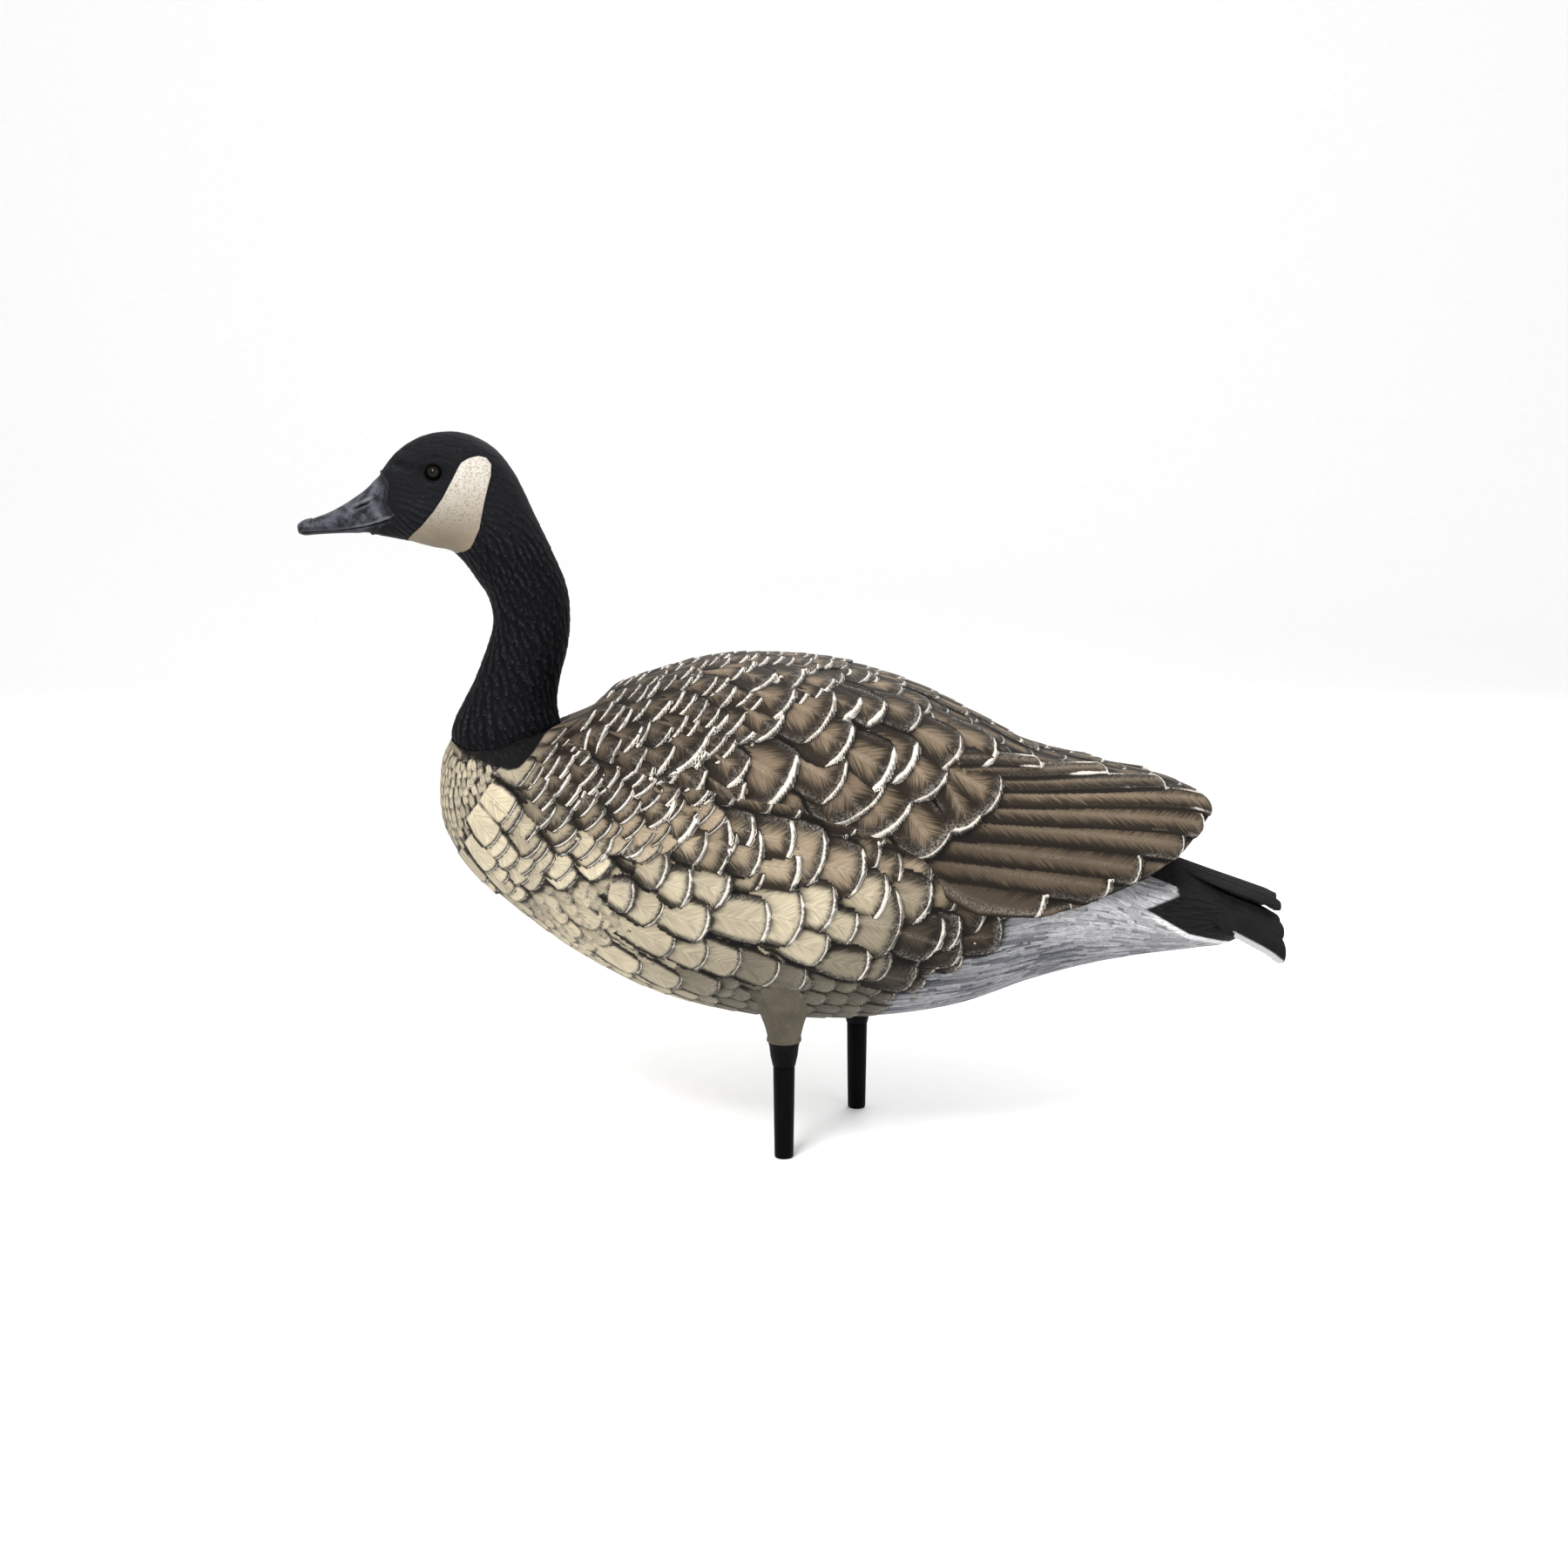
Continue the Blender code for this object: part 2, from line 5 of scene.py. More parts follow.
import bmesh
import bpy
import numpy as np
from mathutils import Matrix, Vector


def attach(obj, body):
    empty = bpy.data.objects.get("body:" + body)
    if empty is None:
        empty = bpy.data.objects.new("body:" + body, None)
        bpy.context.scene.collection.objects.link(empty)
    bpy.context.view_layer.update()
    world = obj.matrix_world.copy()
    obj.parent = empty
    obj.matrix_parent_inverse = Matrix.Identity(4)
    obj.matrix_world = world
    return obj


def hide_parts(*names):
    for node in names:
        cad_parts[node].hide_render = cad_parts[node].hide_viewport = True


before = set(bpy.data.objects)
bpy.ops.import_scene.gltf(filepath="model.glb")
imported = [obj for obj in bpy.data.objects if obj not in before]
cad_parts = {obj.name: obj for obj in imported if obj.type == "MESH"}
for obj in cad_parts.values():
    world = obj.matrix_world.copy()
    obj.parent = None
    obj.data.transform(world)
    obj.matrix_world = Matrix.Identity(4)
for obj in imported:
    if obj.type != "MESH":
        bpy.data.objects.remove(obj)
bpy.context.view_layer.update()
rng = np.random.default_rng(7)

# ---------------------------------------------------------------- the part's own sections
NECK_X = -0.2435  # vertical axis that the neck turns about
NECK_R = 0.0415  # the neck's round base
NECK_BASE_Z = 0.285
COLLAR_R = 0.0425  # round hole that the neck stands in
SOCKET_FLOOR_Z = 0.283
SPIGOT_BORE_R = 0.0303
SQUARENESS = 2.15  # exponent of the rounded sections, 2 is an ellipse
EYE_AT = (-0.2895, 0.0252, 0.5165)  # the right eye, and the left one mirrors it
EYE_R = 0.0062
LEGS = {"left": (-0.03, -0.06), "right": (0.03, 0.06)}  # x and y of each post

# rows and columns of the feathered grids
BODY_GRID = (520, 560)
BACK_GRID = (430, 340)
NECK_GRID = (470, 260)

# sections of each shell: top point (x, z), bottom point (x, z), half width
BODY = [
    (-0.212, 0.354, -0.268, 0.354, 0.026), (-0.205, 0.327, -0.287, 0.313, 0.036),
    (-0.194, 0.33, -0.293, 0.287, 0.05), (-0.173, 0.3385, -0.2915, 0.252, 0.068),
    (-0.15, 0.351, -0.276, 0.223, 0.084), (-0.12, 0.361, -0.244, 0.192, 0.099),
    (-0.082, 0.3705, -0.19, 0.152, 0.112), (-0.034, 0.372, -0.125, 0.119, 0.12),
    (0.015, 0.367, -0.05, 0.102, 0.122), (0.066, 0.352, 0.03, 0.1, 0.118),
    (0.113, 0.327, 0.1, 0.109, 0.107), (0.155, 0.298, 0.16, 0.129, 0.092),
    (0.195, 0.26, 0.205, 0.141, 0.078), (0.232, 0.2235, 0.245, 0.1485, 0.066),
    (0.27, 0.2125, 0.285, 0.153, 0.056), (0.3, 0.201, 0.31, 0.156, 0.046),
    (0.322, 0.188, 0.326, 0.164, 0.034),
]
BACK = [
    (-0.184, 0.3395, -0.297, 0.265, 0.063), (-0.151, 0.356, -0.28, 0.2185, 0.089),
    (-0.121, 0.366, -0.248, 0.1875, 0.104), (-0.082, 0.3757, -0.192, 0.147, 0.117),
    (-0.034, 0.3772, -0.126, 0.114, 0.125), (0.015, 0.372, -0.05, 0.097, 0.127),
    (0.066, 0.3575, 0.03, 0.095, 0.123), (0.115, 0.334, 0.102, 0.104, 0.1125),
    (0.158, 0.3115, 0.156, 0.124, 0.099), (0.2, 0.3005, 0.2, 0.148, 0.084),
    (0.24, 0.2915, 0.24, 0.172, 0.067), (0.27, 0.283, 0.27, 0.205, 0.049),
    (0.289, 0.272, 0.289, 0.235, 0.03), (0.298, 0.265, 0.298, 0.248, 0.013),
]
NECK = [
    (NECK_X + NECK_R, NECK_BASE_Z, NECK_X - NECK_R, NECK_BASE_Z, NECK_R),
    (NECK_X + NECK_R, 0.305, NECK_X - NECK_R, 0.305, NECK_R),
    (-0.203, 0.325, -0.284, 0.325, 0.0405), (-0.2055, 0.343, -0.2755, 0.343, 0.035),
    (-0.2025, 0.363, -0.267, 0.359, 0.0315), (-0.1965, 0.386, -0.2575, 0.382, 0.0295),
    (-0.1943, 0.408, -0.2512, 0.403, 0.0285), (-0.1965, 0.431, -0.254, 0.423, 0.0285),
    (-0.206, 0.456, -0.262, 0.436, 0.0285), (-0.219, 0.485, -0.271, 0.449, 0.029),
    (-0.233, 0.515, -0.279, 0.457, 0.0305), (-0.249, 0.5355, -0.286, 0.46, 0.0318),
    (-0.269, 0.5458, -0.295, 0.4615, 0.032), (-0.288, 0.5472, -0.305, 0.464, 0.0305),
    (-0.305, 0.543, -0.315, 0.4668, 0.0268), (-0.321, 0.533, -0.325, 0.4688, 0.0215),
    (-0.334, 0.518, -0.334, 0.47, 0.0172), (-0.344, 0.5065, -0.344, 0.471, 0.0142),
    (-0.357, 0.497, -0.357, 0.4718, 0.0124), (-0.372, 0.4885, -0.372, 0.4714, 0.0116),
    (-0.385, 0.4835, -0.385, 0.4706, 0.0112), (-0.393, 0.4813, -0.393, 0.47, 0.009),
    (-0.3975, 0.4785, -0.3975, 0.4712, 0.0045),
]
# the back shell's lower rim in the side view
RIM = [
    (-0.3, 0.322), (-0.19, 0.318), (-0.15, 0.302), (-0.11, 0.29), (-0.03, 0.276), (0.025, 0.258),
    (0.066, 0.24), (0.088, 0.213), (0.11, 0.2), (0.156, 0.195), (0.192, 0.202), (0.24, 0.218),
    (0.269, 0.233), (0.29, 0.254), (0.3, 0.262),
]


def colour(code):
    """Linear RGB of a screen colour."""
    parts = [int(code[k : k + 2], 16) / 255 for k in (0, 2, 4)]
    return np.array([p / 12.92 if p < 0.04045 else ((p + 0.055) / 1.055) ** 2.4 for p in parts])


CREAM = colour("aca18a")
TAN = colour("94846e")
BROWN = colour("6f604f")
UMBER = colour("2c231b")
# near-black for painted shade: hollows of the relief, feather outlines, and the linings under the back shell
# and in the neck socket
SHADE_BLACK = colour("0b0907")
PALE = colour("dfd7cb")
GREY_WHITE = colour("b4b4b6")
BLUE_GREY = colour("606268")
BLACK = colour("09090c")
STREAK_DEPTH = 0.72 * 2.2  # how strongly the barbs' streaks change a feather's paint


# ---------------------------------------------------------------- small maths
def smooth(low, high, value):
    """0 below low, 1 above high, with a soft rise between. It falls instead where low is the greater."""
    t = np.clip((value - low) / (high - low), 0, 1)
    return t * t * (3 - 2 * t)


def bell(value, width):
    """1 at 0, fading over width to either side."""
    return np.exp(-((value / width) ** 2))


def mix(a, b, t):
    """Blend from a to b along the last axis."""
    t = np.asarray(t)[..., None]
    return np.asarray(a) * (1 - t) + np.asarray(b) * t


def spline(rows, u):
    """Rows at fractional indices u, on a smooth curve through all rows."""
    rows = np.asarray(rows, float)
    last = len(rows) - 1
    i = np.clip(np.floor(u).astype(int), 0, last - 1)
    f = (u - i)[..., None]
    p, q, r, s = (rows[np.clip(i + k, 0, last)] for k in (-1, 0, 1, 2))
    return 0.5 * (2 * q + (r - p) * f + (2 * p - 5 * q + 4 * r - s) * f**2 + (3 * q - p - 3 * r + s) * f**3)


def section_points(rows, angle, inset=0.0, power=SQUARENESS):
    """Points of sections. Angle 0 is the top, pi the bottom, and it grows round the left side."""
    top = np.stack([rows[..., 0], np.zeros_like(rows[..., 0]), rows[..., 1]], -1)
    bottom = np.stack([rows[..., 2], np.zeros_like(rows[..., 0]), rows[..., 3]], -1)
    middle = (top + bottom) / 2
    length = np.linalg.norm(top - bottom, axis=-1, keepdims=True)
    up = (top - bottom) / np.maximum(length, 1e-9)
    high = length / 2 - inset
    wide = rows[..., 4:5] - inset
    c, s = np.cos(angle)[..., None], np.sin(angle)[..., None]
    rise = np.sign(c) * np.abs(c) ** (2 / power)
    side = np.sign(s) * np.abs(s) ** (2 / power)
    return middle + up * high * rise - np.array([0.0, 1.0, 0.0]) * wide * side


def resample(points, count):
    """Points (n, columns, 3) at even distances along each column."""
    steps = np.linalg.norm(np.diff(points, axis=0), axis=-1)
    run = np.concatenate([np.zeros((1, points.shape[1])), np.cumsum(steps, 0)])
    out = np.empty((count, points.shape[1], 3))
    for j in range(points.shape[1]):
        at = np.linspace(0, run[-1, j], count)
        for k in range(3):
            out[:, j, k] = np.interp(at, run[:, j], points[:, j, k])
    return out


def blur(field, size):
    """Box blur of a grid, run twice."""
    for _ in range(2):
        for axis in (0, 1):
            padded = np.concatenate([np.repeat(np.take(field, [0], axis), size + 1, axis), field,
                                     np.repeat(np.take(field, [-1], axis), size, axis)], axis)
            total = np.cumsum(padded, axis)
            n = field.shape[axis]
            high = np.take(total, np.arange(2 * size + 1, 2 * size + 1 + n), axis)
            low = np.take(total, np.arange(0, n), axis)
            field = (high - low) / (2 * size + 1)
    return field


# ---------------------------------------------------------------- feathered skin
class Skin:
    """A dense grid over a surface that feathers are pressed into. Its columns run round and meet."""

    def __init__(self, points):
        self.base = points
        self.rows, self.cols = points.shape[:2]
        self.normal = self.normals(points)
        shape = (self.rows, self.cols)
        self.height = np.zeros(shape)
        self.rank = np.full(shape, -1.0)
        self.along = np.zeros(shape)
        self.across = np.zeros(shape)
        self.edge = np.full(shape, 0.02)
        self.tip = np.zeros(shape)
        self.dark = np.zeros(shape)
        self.luck = np.zeros(shape)
        self.paint = np.tile(CREAM, (*shape, 1))

    def normals(self, points):
        around = np.roll(points, -1, 1) - np.roll(points, 1, 1)
        along = np.gradient(points, axis=0)
        normal = np.cross(along, around)
        normal /= np.maximum(np.linalg.norm(normal, axis=-1, keepdims=True), 1e-12)
        return normal

    def face_out(self, centre):
        """Turns the normals away from a point inside."""
        outward = np.sum(self.normal * (self.base - np.asarray(centre)), -1)
        self.sign = 1.0 if np.median(outward) > 0 else -1.0
        self.normal = self.normal * self.sign

    def window(self, i, j, reach):
        """Index arrays of the grid within reach of a place."""
        i2, j2 = min(i + 1, self.rows - 1), (j + 1) % self.cols
        i1 = i2 - 1
        di = np.linalg.norm(self.base[i2, j] - self.base[i1, j]) + 1e-6
        dj = np.linalg.norm(self.base[i, j2] - self.base[i, j]) + 1e-6
        if dj > 0.02:
            dj = np.linalg.norm(self.base[i, j - 1] - self.base[i, j]) + 1e-6
        ni, nj = int(reach / di) + 2, min(int(reach / dj) + 2, self.cols // 2 - 1)
        rows = np.arange(max(0, i - ni), min(self.rows, i + ni + 1))
        return np.ix_(rows, np.arange(j - nj, j + nj + 1) % self.cols)

    def feather(self, root, heading, length, half, lift, paint, white=1.0, dark=0.006, blunt=0.8,
                root_lift=0.3, crown=0.25, edge=0.0013, taper=0.8, order=0.0, square=2.3, slant=0.0):
        """Presses one feather into the skin. root is a grid place, heading a 3-D direction.

        half is its half width, lift its height at the tip, root_lift the share of that at its root, and
        order a height that puts it over others. white and dark say how wide its tip and fringe are painted.
        blunt, square, taper and slant shape its outline, and crown and edge its section.
        """
        i, j = root
        centre = self.base[i, j]
        n = self.normal[i, j]
        t = heading - n * np.dot(heading, n)
        size = np.linalg.norm(t)
        if size < 1e-6:
            return
        t = t / size
        b = np.cross(n, t)
        place = self.window(i, j, length * 1.08 + half * 0.3)
        offset = self.base[place] - centre
        a, c, depth = offset @ t, offset @ b, offset @ n
        near = (a > -0.1 * length) & (a < length * 1.1) & (np.abs(c) < half * 1.3) & (depth > -length * 0.9)
        if abs(centre[1]) > 0.02:
            near &= self.base[place][..., 1] * centre[1] > 0
        if not near.any():
            return
        cap = min(blunt * half, 0.9 * length)
        share = np.clip(np.abs(c) / half, 0, 1)
        end = length - cap * (1 - (1 - 0.999 * share**square) ** (1 / square))
        end = end + slant * c * (1 if n[1] < 0 else -1)
        width = half * (taper + (1 - taper) * smooth(0, 0.5, a / length))
        to_tip = end - a
        to_side = (width - np.abs(c)) * 0.9
        inside = np.minimum(to_tip, to_side)
        luck = rng.random()
        body = lift * (root_lift + (1 - root_lift) * np.clip(a / length, 0, 1)) * (1 - crown * share**2)
        body = body + lift * 0.12 * bell(c, 0.07 * half + 0.0004)
        body = body + order + (luck - 0.5) * 0.12 * lift
        covered = smooth(-0.2 * edge, edge, inside)
        level = body * covered
        height, rank = self.height[place], self.rank[place]
        raised = near & (a > -0.02 * length) & (level > height)
        self.height[place] = np.where(raised, level, height)
        rim = -min(0.0013, 0.12 * half)
        wins = near & (a > 0) & (inside > rim) & (body > rank)
        if not wins.any():
            return
        tipness = smooth(0.45, 0.85, (a + cap * 0.4) / length) * (1 - smooth(0.62, 0.97, share))
        for name, value in (
            ("rank", body),
            ("along", a),
            ("across", c),
            ("edge", inside),
            ("tip", tipness * white),
            ("dark", np.full_like(a, dark)),
            ("luck", np.full_like(a, luck)),
        ):
            field = getattr(self, name)
            field[place] = np.where(wins, value, field[place])
        self.paint[place] = np.where(wins[..., None], paint, self.paint[place])

    def finish(self, relief, shift=0.0):
        """Final positions and normals, the painted shade in the hollows of the relief, and dry brush with
        painted highlight on what stands proud.
        """
        spread = blur(relief, 3)
        wide = blur(relief, 9)
        narrow_hollows = np.clip((spread - relief) / 0.0004, 0, 1)
        wide_hollows = np.clip((wide - relief) / 0.0013, 0, 1)
        # painted shade: hollows of the relief darkened as the shadow under feather edges
        self.painted_shade = np.maximum(narrow_hollows, 0.6 * wide_hollows)
        # dry brush with painted highlight: what stands proud of the relief is lightened
        self.brush = np.clip((relief - spread) / 0.0005, 0, 1)
        self.points = self.base + self.normal * self.height[..., None] + shift
        self.shade = self.normals(self.points) * self.sign

    def emit(self, name, material, rows, cols, keep=None):
        """A mesh object of part of the grid."""
        rows = np.arange(*rows)
        cols = np.arange(*cols)
        grid = np.ix_(rows, cols % self.cols)
        nr, nc = len(rows), len(cols)
        quads = np.empty((nr - 1, nc - 1, 4), np.int64)
        index = np.arange(nr * nc).reshape(nr, nc)
        quads[..., 0], quads[..., 1] = index[:-1, :-1], index[:-1, 1:]
        quads[..., 2], quads[..., 3] = index[1:, 1:], index[1:, :-1]
        if self.sign > 0:
            quads = quads[..., ::-1]
        used = np.ones((nr - 1, nc - 1), bool)
        if keep is not None:
            kept = keep[grid]
            used = kept[:-1, :-1] & kept[1:, 1:] & kept[:-1, 1:] & kept[1:, :-1]
        quads = quads[used].reshape(-1, 4)
        verts, inverse = np.unique(quads, return_inverse=True)
        quads = inverse.reshape(-1, 4)
        points = self.points[grid].reshape(-1, 3)[verts]
        normals = self.shade[grid].reshape(-1, 3)[verts]
        mesh = new_mesh(name, points, quads, material)
        mesh.normals_split_custom_set_from_vertices(normals)
        feather = np.stack([self.along, self.across, self.edge], -1) * 100
        marks = np.stack([self.tip, self.dark * 100, self.luck], -1)
        # painted shade, dry brush with painted highlight, and height of the relief
        shade_highlight_height = np.stack([self.painted_shade, self.brush, self.height * 1000], -1)
        for label, field in (("feather", feather), ("marks", marks), ("shade_highlight_height", shade_highlight_height)):
            add_vectors(mesh, label, field[grid].reshape(-1, 3)[verts])
        add_colours(mesh, "paint", self.paint[grid].reshape(-1, 3)[verts])
        return link(name, mesh)


def new_mesh(name, points, faces, material):
    mesh = bpy.data.meshes.new(name)
    mesh.from_pydata(points.tolist(), [], faces.tolist() if hasattr(faces, "tolist") else faces)
    mesh.shade_smooth()
    mesh.materials.append(material)
    return mesh


def add_vectors(mesh, label, values):
    attribute = mesh.attributes.new(label, "FLOAT_VECTOR", "POINT")
    attribute.data.foreach_set("vector", np.ascontiguousarray(values, np.float32).ravel())


def add_colours(mesh, label, values):
    attribute = mesh.attributes.new(label, "FLOAT_COLOR", "POINT")
    with_alpha = np.concatenate([values, np.ones((len(values), 1))], 1)
    attribute.data.foreach_set("color", np.ascontiguousarray(with_alpha, np.float32).ravel())


def link(name, mesh):
    obj = bpy.data.objects.new(name, mesh)
    bpy.context.scene.collection.objects.link(obj)
    return obj


# ---------------------------------------------------------------- materials
class Nodes:
    """A short way to write a node tree."""

    def __init__(self, name):
        self.material = bpy.data.materials.new(name)
        self.material.use_nodes = True
        self.tree = self.material.node_tree
        self.shader = self.tree.nodes["Principled BSDF"]

    def node(self, kind, **settings):
        made = self.tree.nodes.new(kind)
        for key, value in settings.items():
            setattr(made, key, value)
        return made

    def put(self, socket, value):
        if isinstance(value, bpy.types.NodeSocket):
            self.tree.links.new(value, socket)
        elif hasattr(value, "__len__") and len(value) == 3 and socket.type == "RGBA":
            socket.default_value = (*value, 1.0)
        else:
            socket.default_value = value

    def math(self, operation, *values):
        made = self.node("ShaderNodeMath", operation=operation)
        for socket, value in zip(made.inputs, values):
            self.put(socket, value)
        return made.outputs[0]

    def times(self, a, b):
        return self.math("MULTIPLY", a, b)

    def add(self, a, b):
        return self.math("ADD", a, b)

    def less(self, a, b):
        return self.math("SUBTRACT", a, b)

    def scaled(self, value, by, plus):
        return self.math("MULTIPLY_ADD", value, by, plus)

    def mix(self, factor, a, b, blend="MIX"):
        made = self.node("ShaderNodeMix", data_type="RGBA", blend_type=blend, clamp_factor=True)
        for socket, value in zip((made.inputs["Factor"], made.inputs[6], made.inputs[7]), (factor, a, b)):
            self.put(socket, value)
        return made.outputs[2]

    def step(self, value, low, high):
        made = self.node("ShaderNodeMapRange", interpolation_type="SMOOTHSTEP")
        for key, given in (("Value", value), ("From Min", low), ("From Max", high)):
            self.put(made.inputs[key], given)
        return made.outputs["Result"]

    def vectors(self, label):
        """The three numbers of a mesh's vector attribute."""
        return self.split(self.node("ShaderNodeAttribute", attribute_name=label).outputs["Vector"])

    def split(self, vector):
        made = self.node("ShaderNodeSeparateXYZ")
        self.put(made.inputs[0], vector)
        return made.outputs[0], made.outputs[1], made.outputs[2]

    def join(self, x, y, z):
        made = self.node("ShaderNodeCombineXYZ")
        for socket, value in zip(made.inputs, (x, y, z)):
            self.put(socket, value)
        return made.outputs[0]

    def noise(self, vector, scale, detail=2.0, rough=0.5):
        made = self.node("ShaderNodeTexNoise")
        self.put(made.inputs["Vector"], vector)
        made.inputs["Scale"].default_value = scale
        made.inputs["Detail"].default_value = detail
        made.inputs["Roughness"].default_value = rough
        return made.outputs["Fac"]

    def place(self):
        return self.node("ShaderNodeTexCoord").outputs["Object"]

    def bump(self, height, strength, distance, normal=None):
        made = self.node("ShaderNodeBump")
        self.put(made.inputs["Height"], height)
        made.inputs["Strength"].default_value = strength
        made.inputs["Distance"].default_value = distance
        if normal is not None:
            self.put(made.inputs["Normal"], normal)
        return made.outputs[0]

    def finish(self, base, roughness, normal=None, specular=0.4):
        self.put(self.shader.inputs["Base Color"], base)
        self.put(self.shader.inputs["Roughness"], roughness)
        self.shader.inputs["Specular IOR Level"].default_value = specular
        if normal is not None:
            self.put(self.shader.inputs["Normal"], normal)
        return self.material


def plumage(name):
    """Painted moulded feathers: barbs, dark fringes, pale tips, dry brush with painted highlight on raised
    edges, and painted shade in the hollows and along each outline.
    """
    n = Nodes(name)
    along, across, edge = n.vectors("feather")
    tip, dark, luck = n.vectors("marks")
    painted_shade, brush, _ = n.vectors("shade_highlight_height")
    base = n.node("ShaderNodeAttribute", attribute_name="paint").outputs["Color"]
    off = n.math("ABSOLUTE", across)
    lean = n.less(along, n.times(off, 1.25))
    seed = n.times(luck, 37.0)
    fine = n.noise(n.join(n.times(lean, 14.0), n.times(across, 0.9), seed), 1.0, 2.0, 0.6)
    broad = n.noise(n.join(n.times(lean, 4.5), n.times(across, 0.7), seed), 1.0, 3.0, 0.6)
    blotch = n.noise(n.place(), 26.0, 3.0, 0.6)
    grain = n.noise(n.place(), 620.0, 2.0, 0.6)

    tone = n.add(n.add(n.times(fine, 0.55), n.times(broad, 0.75)), n.times(blotch, 0.35))
    streaks = n.scaled(n.less(tone, 0.82), STREAK_DEPTH, 1.0)
    body = n.mix(1.0, base, n.join(streaks, streaks, streaks), "MULTIPLY")

    # the dark fringe inside the edge, broken into strokes along the barbs
    ticks = n.add(n.times(n.less(broad, 0.5), 1.7), n.times(n.less(fine, 0.5), 1.5))
    reach = n.times(dark, n.add(1.0, ticks))
    near_tip = n.less(1.0, n.step(edge, n.times(reach, 0.45), n.scaled(reach, 1.35, 0.01)))
    has_dark = n.step(dark, 0.0, 0.25)
    body = n.mix(n.times(n.times(near_tip, has_dark), 0.95), body, UMBER * 0.3)
    shaft = n.less(1.0, n.step(off, 0.01, 0.05))
    body = n.mix(n.times(shaft, 0.35), body, UMBER)

    # the pale stroke along the tip, and dry brush with painted highlight on whatever stands proud
    width = n.times(tip, n.scaled(blotch, 0.26, n.scaled(fine, 0.1, -0.03)))
    band = n.less(1.0, n.step(edge, n.times(width, 0.75), n.add(width, 0.02)))
    band = n.times(band, n.step(tip, 0.04, 0.3))
    body = n.mix(n.times(band, 0.92), body, PALE)
    body = n.mix(n.times(n.times(brush, n.step(grain, 0.35, 0.7)), 0.25), body, PALE)

    # painted shade: a dark line along each feather's outline and darkening in the hollows, as the shadow
    # under the feather edges
    line = n.less(1.0, n.step(edge, -0.05, 0.045))
    gloom = n.math("MAXIMUM", n.times(line, 0.9), n.times(painted_shade, 0.93))
    body = n.mix(gloom, body, SHADE_BLACK)
    normal = n.bump(fine, 0.55, 0.0006)
    normal = n.bump(grain, 0.12, 0.0003, normal)
    return n.finish(body, n.scaled(broad, 0.16, 0.54), normal, specular=0.1)


# ---------------------------------------------------------------- body skin
def collar_start(angles):
    """Section index at which the body meets the collar's round hole, for each angle."""
    us = np.linspace(0, 2.6, 260)
    grid = section_points(spline(BODY, us)[:, None, :], angles[None, :])
    radius = np.hypot(grid[..., 0] - NECK_X, grid[..., 1])
    outside = radius > COLLAR_R
    first = np.argmax(outside, 0)
    starts = np.empty(len(angles))
    for j, i in enumerate(first):
        i = max(i, 1)
        r0, r1 = radius[i - 1, j], radius[i, j]
        starts[j] = us[i - 1] + (us[i] - us[i - 1]) * (COLLAR_R - r0) / (r1 - r0)
    return starts


def body_grid(rows, cols):
    """Grid of the body from the neck socket's lining to the closed end, and how many rows are lining."""
    angles = 2 * math.pi * np.arange(cols) / cols
    starts = collar_start(angles)
    share = np.linspace(0, 1, 240)[:, None]
    us = starts + (len(BODY) - 1 - starts) * share
    fine = section_points(spline(BODY, us), np.broadcast_to(angles, us.shape))
    skin = resample(fine, rows)
    rim = skin[0]
    azimuth = np.arctan2(rim[:, 1], rim[:, 0] - NECK_X)
    lining = []
    bore = [(SPIGOT_BORE_R, 0.242), (SPIGOT_BORE_R, 0.262), (SPIGOT_BORE_R, SOCKET_FLOOR_Z)]
    for r, z in bore + [(0.036, SOCKET_FLOOR_Z), (COLLAR_R, SOCKET_FLOOR_Z)]:
        lining.append(np.stack([NECK_X + r * np.cos(azimuth), r * np.sin(azimuth), np.full(cols, z)], -1))
    for k in range(1, 8):
        ring = rim.copy()
        ring[:, 2] = SOCKET_FLOOR_Z + (rim[:, 2] - SOCKET_FLOOR_Z) * k / 8
        lining.append(ring)
    end = skin[-1]
    middle = end.mean(0)
    shrink = (0.92, 0.8, 0.6, 0.35, 0.02)
    closing = [middle + (end - middle) * s + np.array([0.004 * (1 - s * s), 0, 0]) for s in shrink]
    return np.concatenate([np.array(lining), skin, np.array(closing)]), len(lining)


def rows_of_feathers(skin, first, last, spacing, place_fn, jitter=0.12):
    """Lays feathers in staggered rows. place_fn(point, i, j) gives None, or their pitch and lay(place)."""
    steps = np.linalg.norm(np.diff(skin.base[first:last, ::20], axis=0), axis=-1)
    step_row = spacing / np.median(steps)
    line = 0
    i = first + 0.5 * step_row
    while i < last:
        row = int(i)
        ring = skin.base[row]
        gaps = np.maximum(np.linalg.norm(np.roll(ring, -1, 0) - ring, axis=1), 1e-5)
        j = 0.0
        pending = 0.5 * (line % 2)
        while j < skin.cols:
            facts = place_fn(skin.base[row, int(j)], row, int(j))
            pitch = facts[0] if facts else 0.006
            if facts and pending <= 0:
                wobble = (rng.random(2) - 0.5) * 2 * jitter
                ri = int(np.clip(row + wobble[0] * step_row, 0, skin.rows - 1))
                rj = int(j + wobble[1] * pitch / gaps[int(j)]) % skin.cols
                facts[1]((ri, rj))
                pending = 1.0
            stride = max(1.0, 0.25 * pitch / gaps[int(j)])
            j += stride
            pending -= stride * gaps[int(min(j, skin.cols - 1))] / pitch
        i += step_row
        line += 1


def streamline(skin, i, j):
    """Unit direction down the grid's columns."""
    lower, upper = max(i - 2, 0), min(i + 2, skin.rows - 1)
    d = skin.base[upper, j] - skin.base[lower, j]
    return d / max(np.linalg.norm(d), 1e-9)


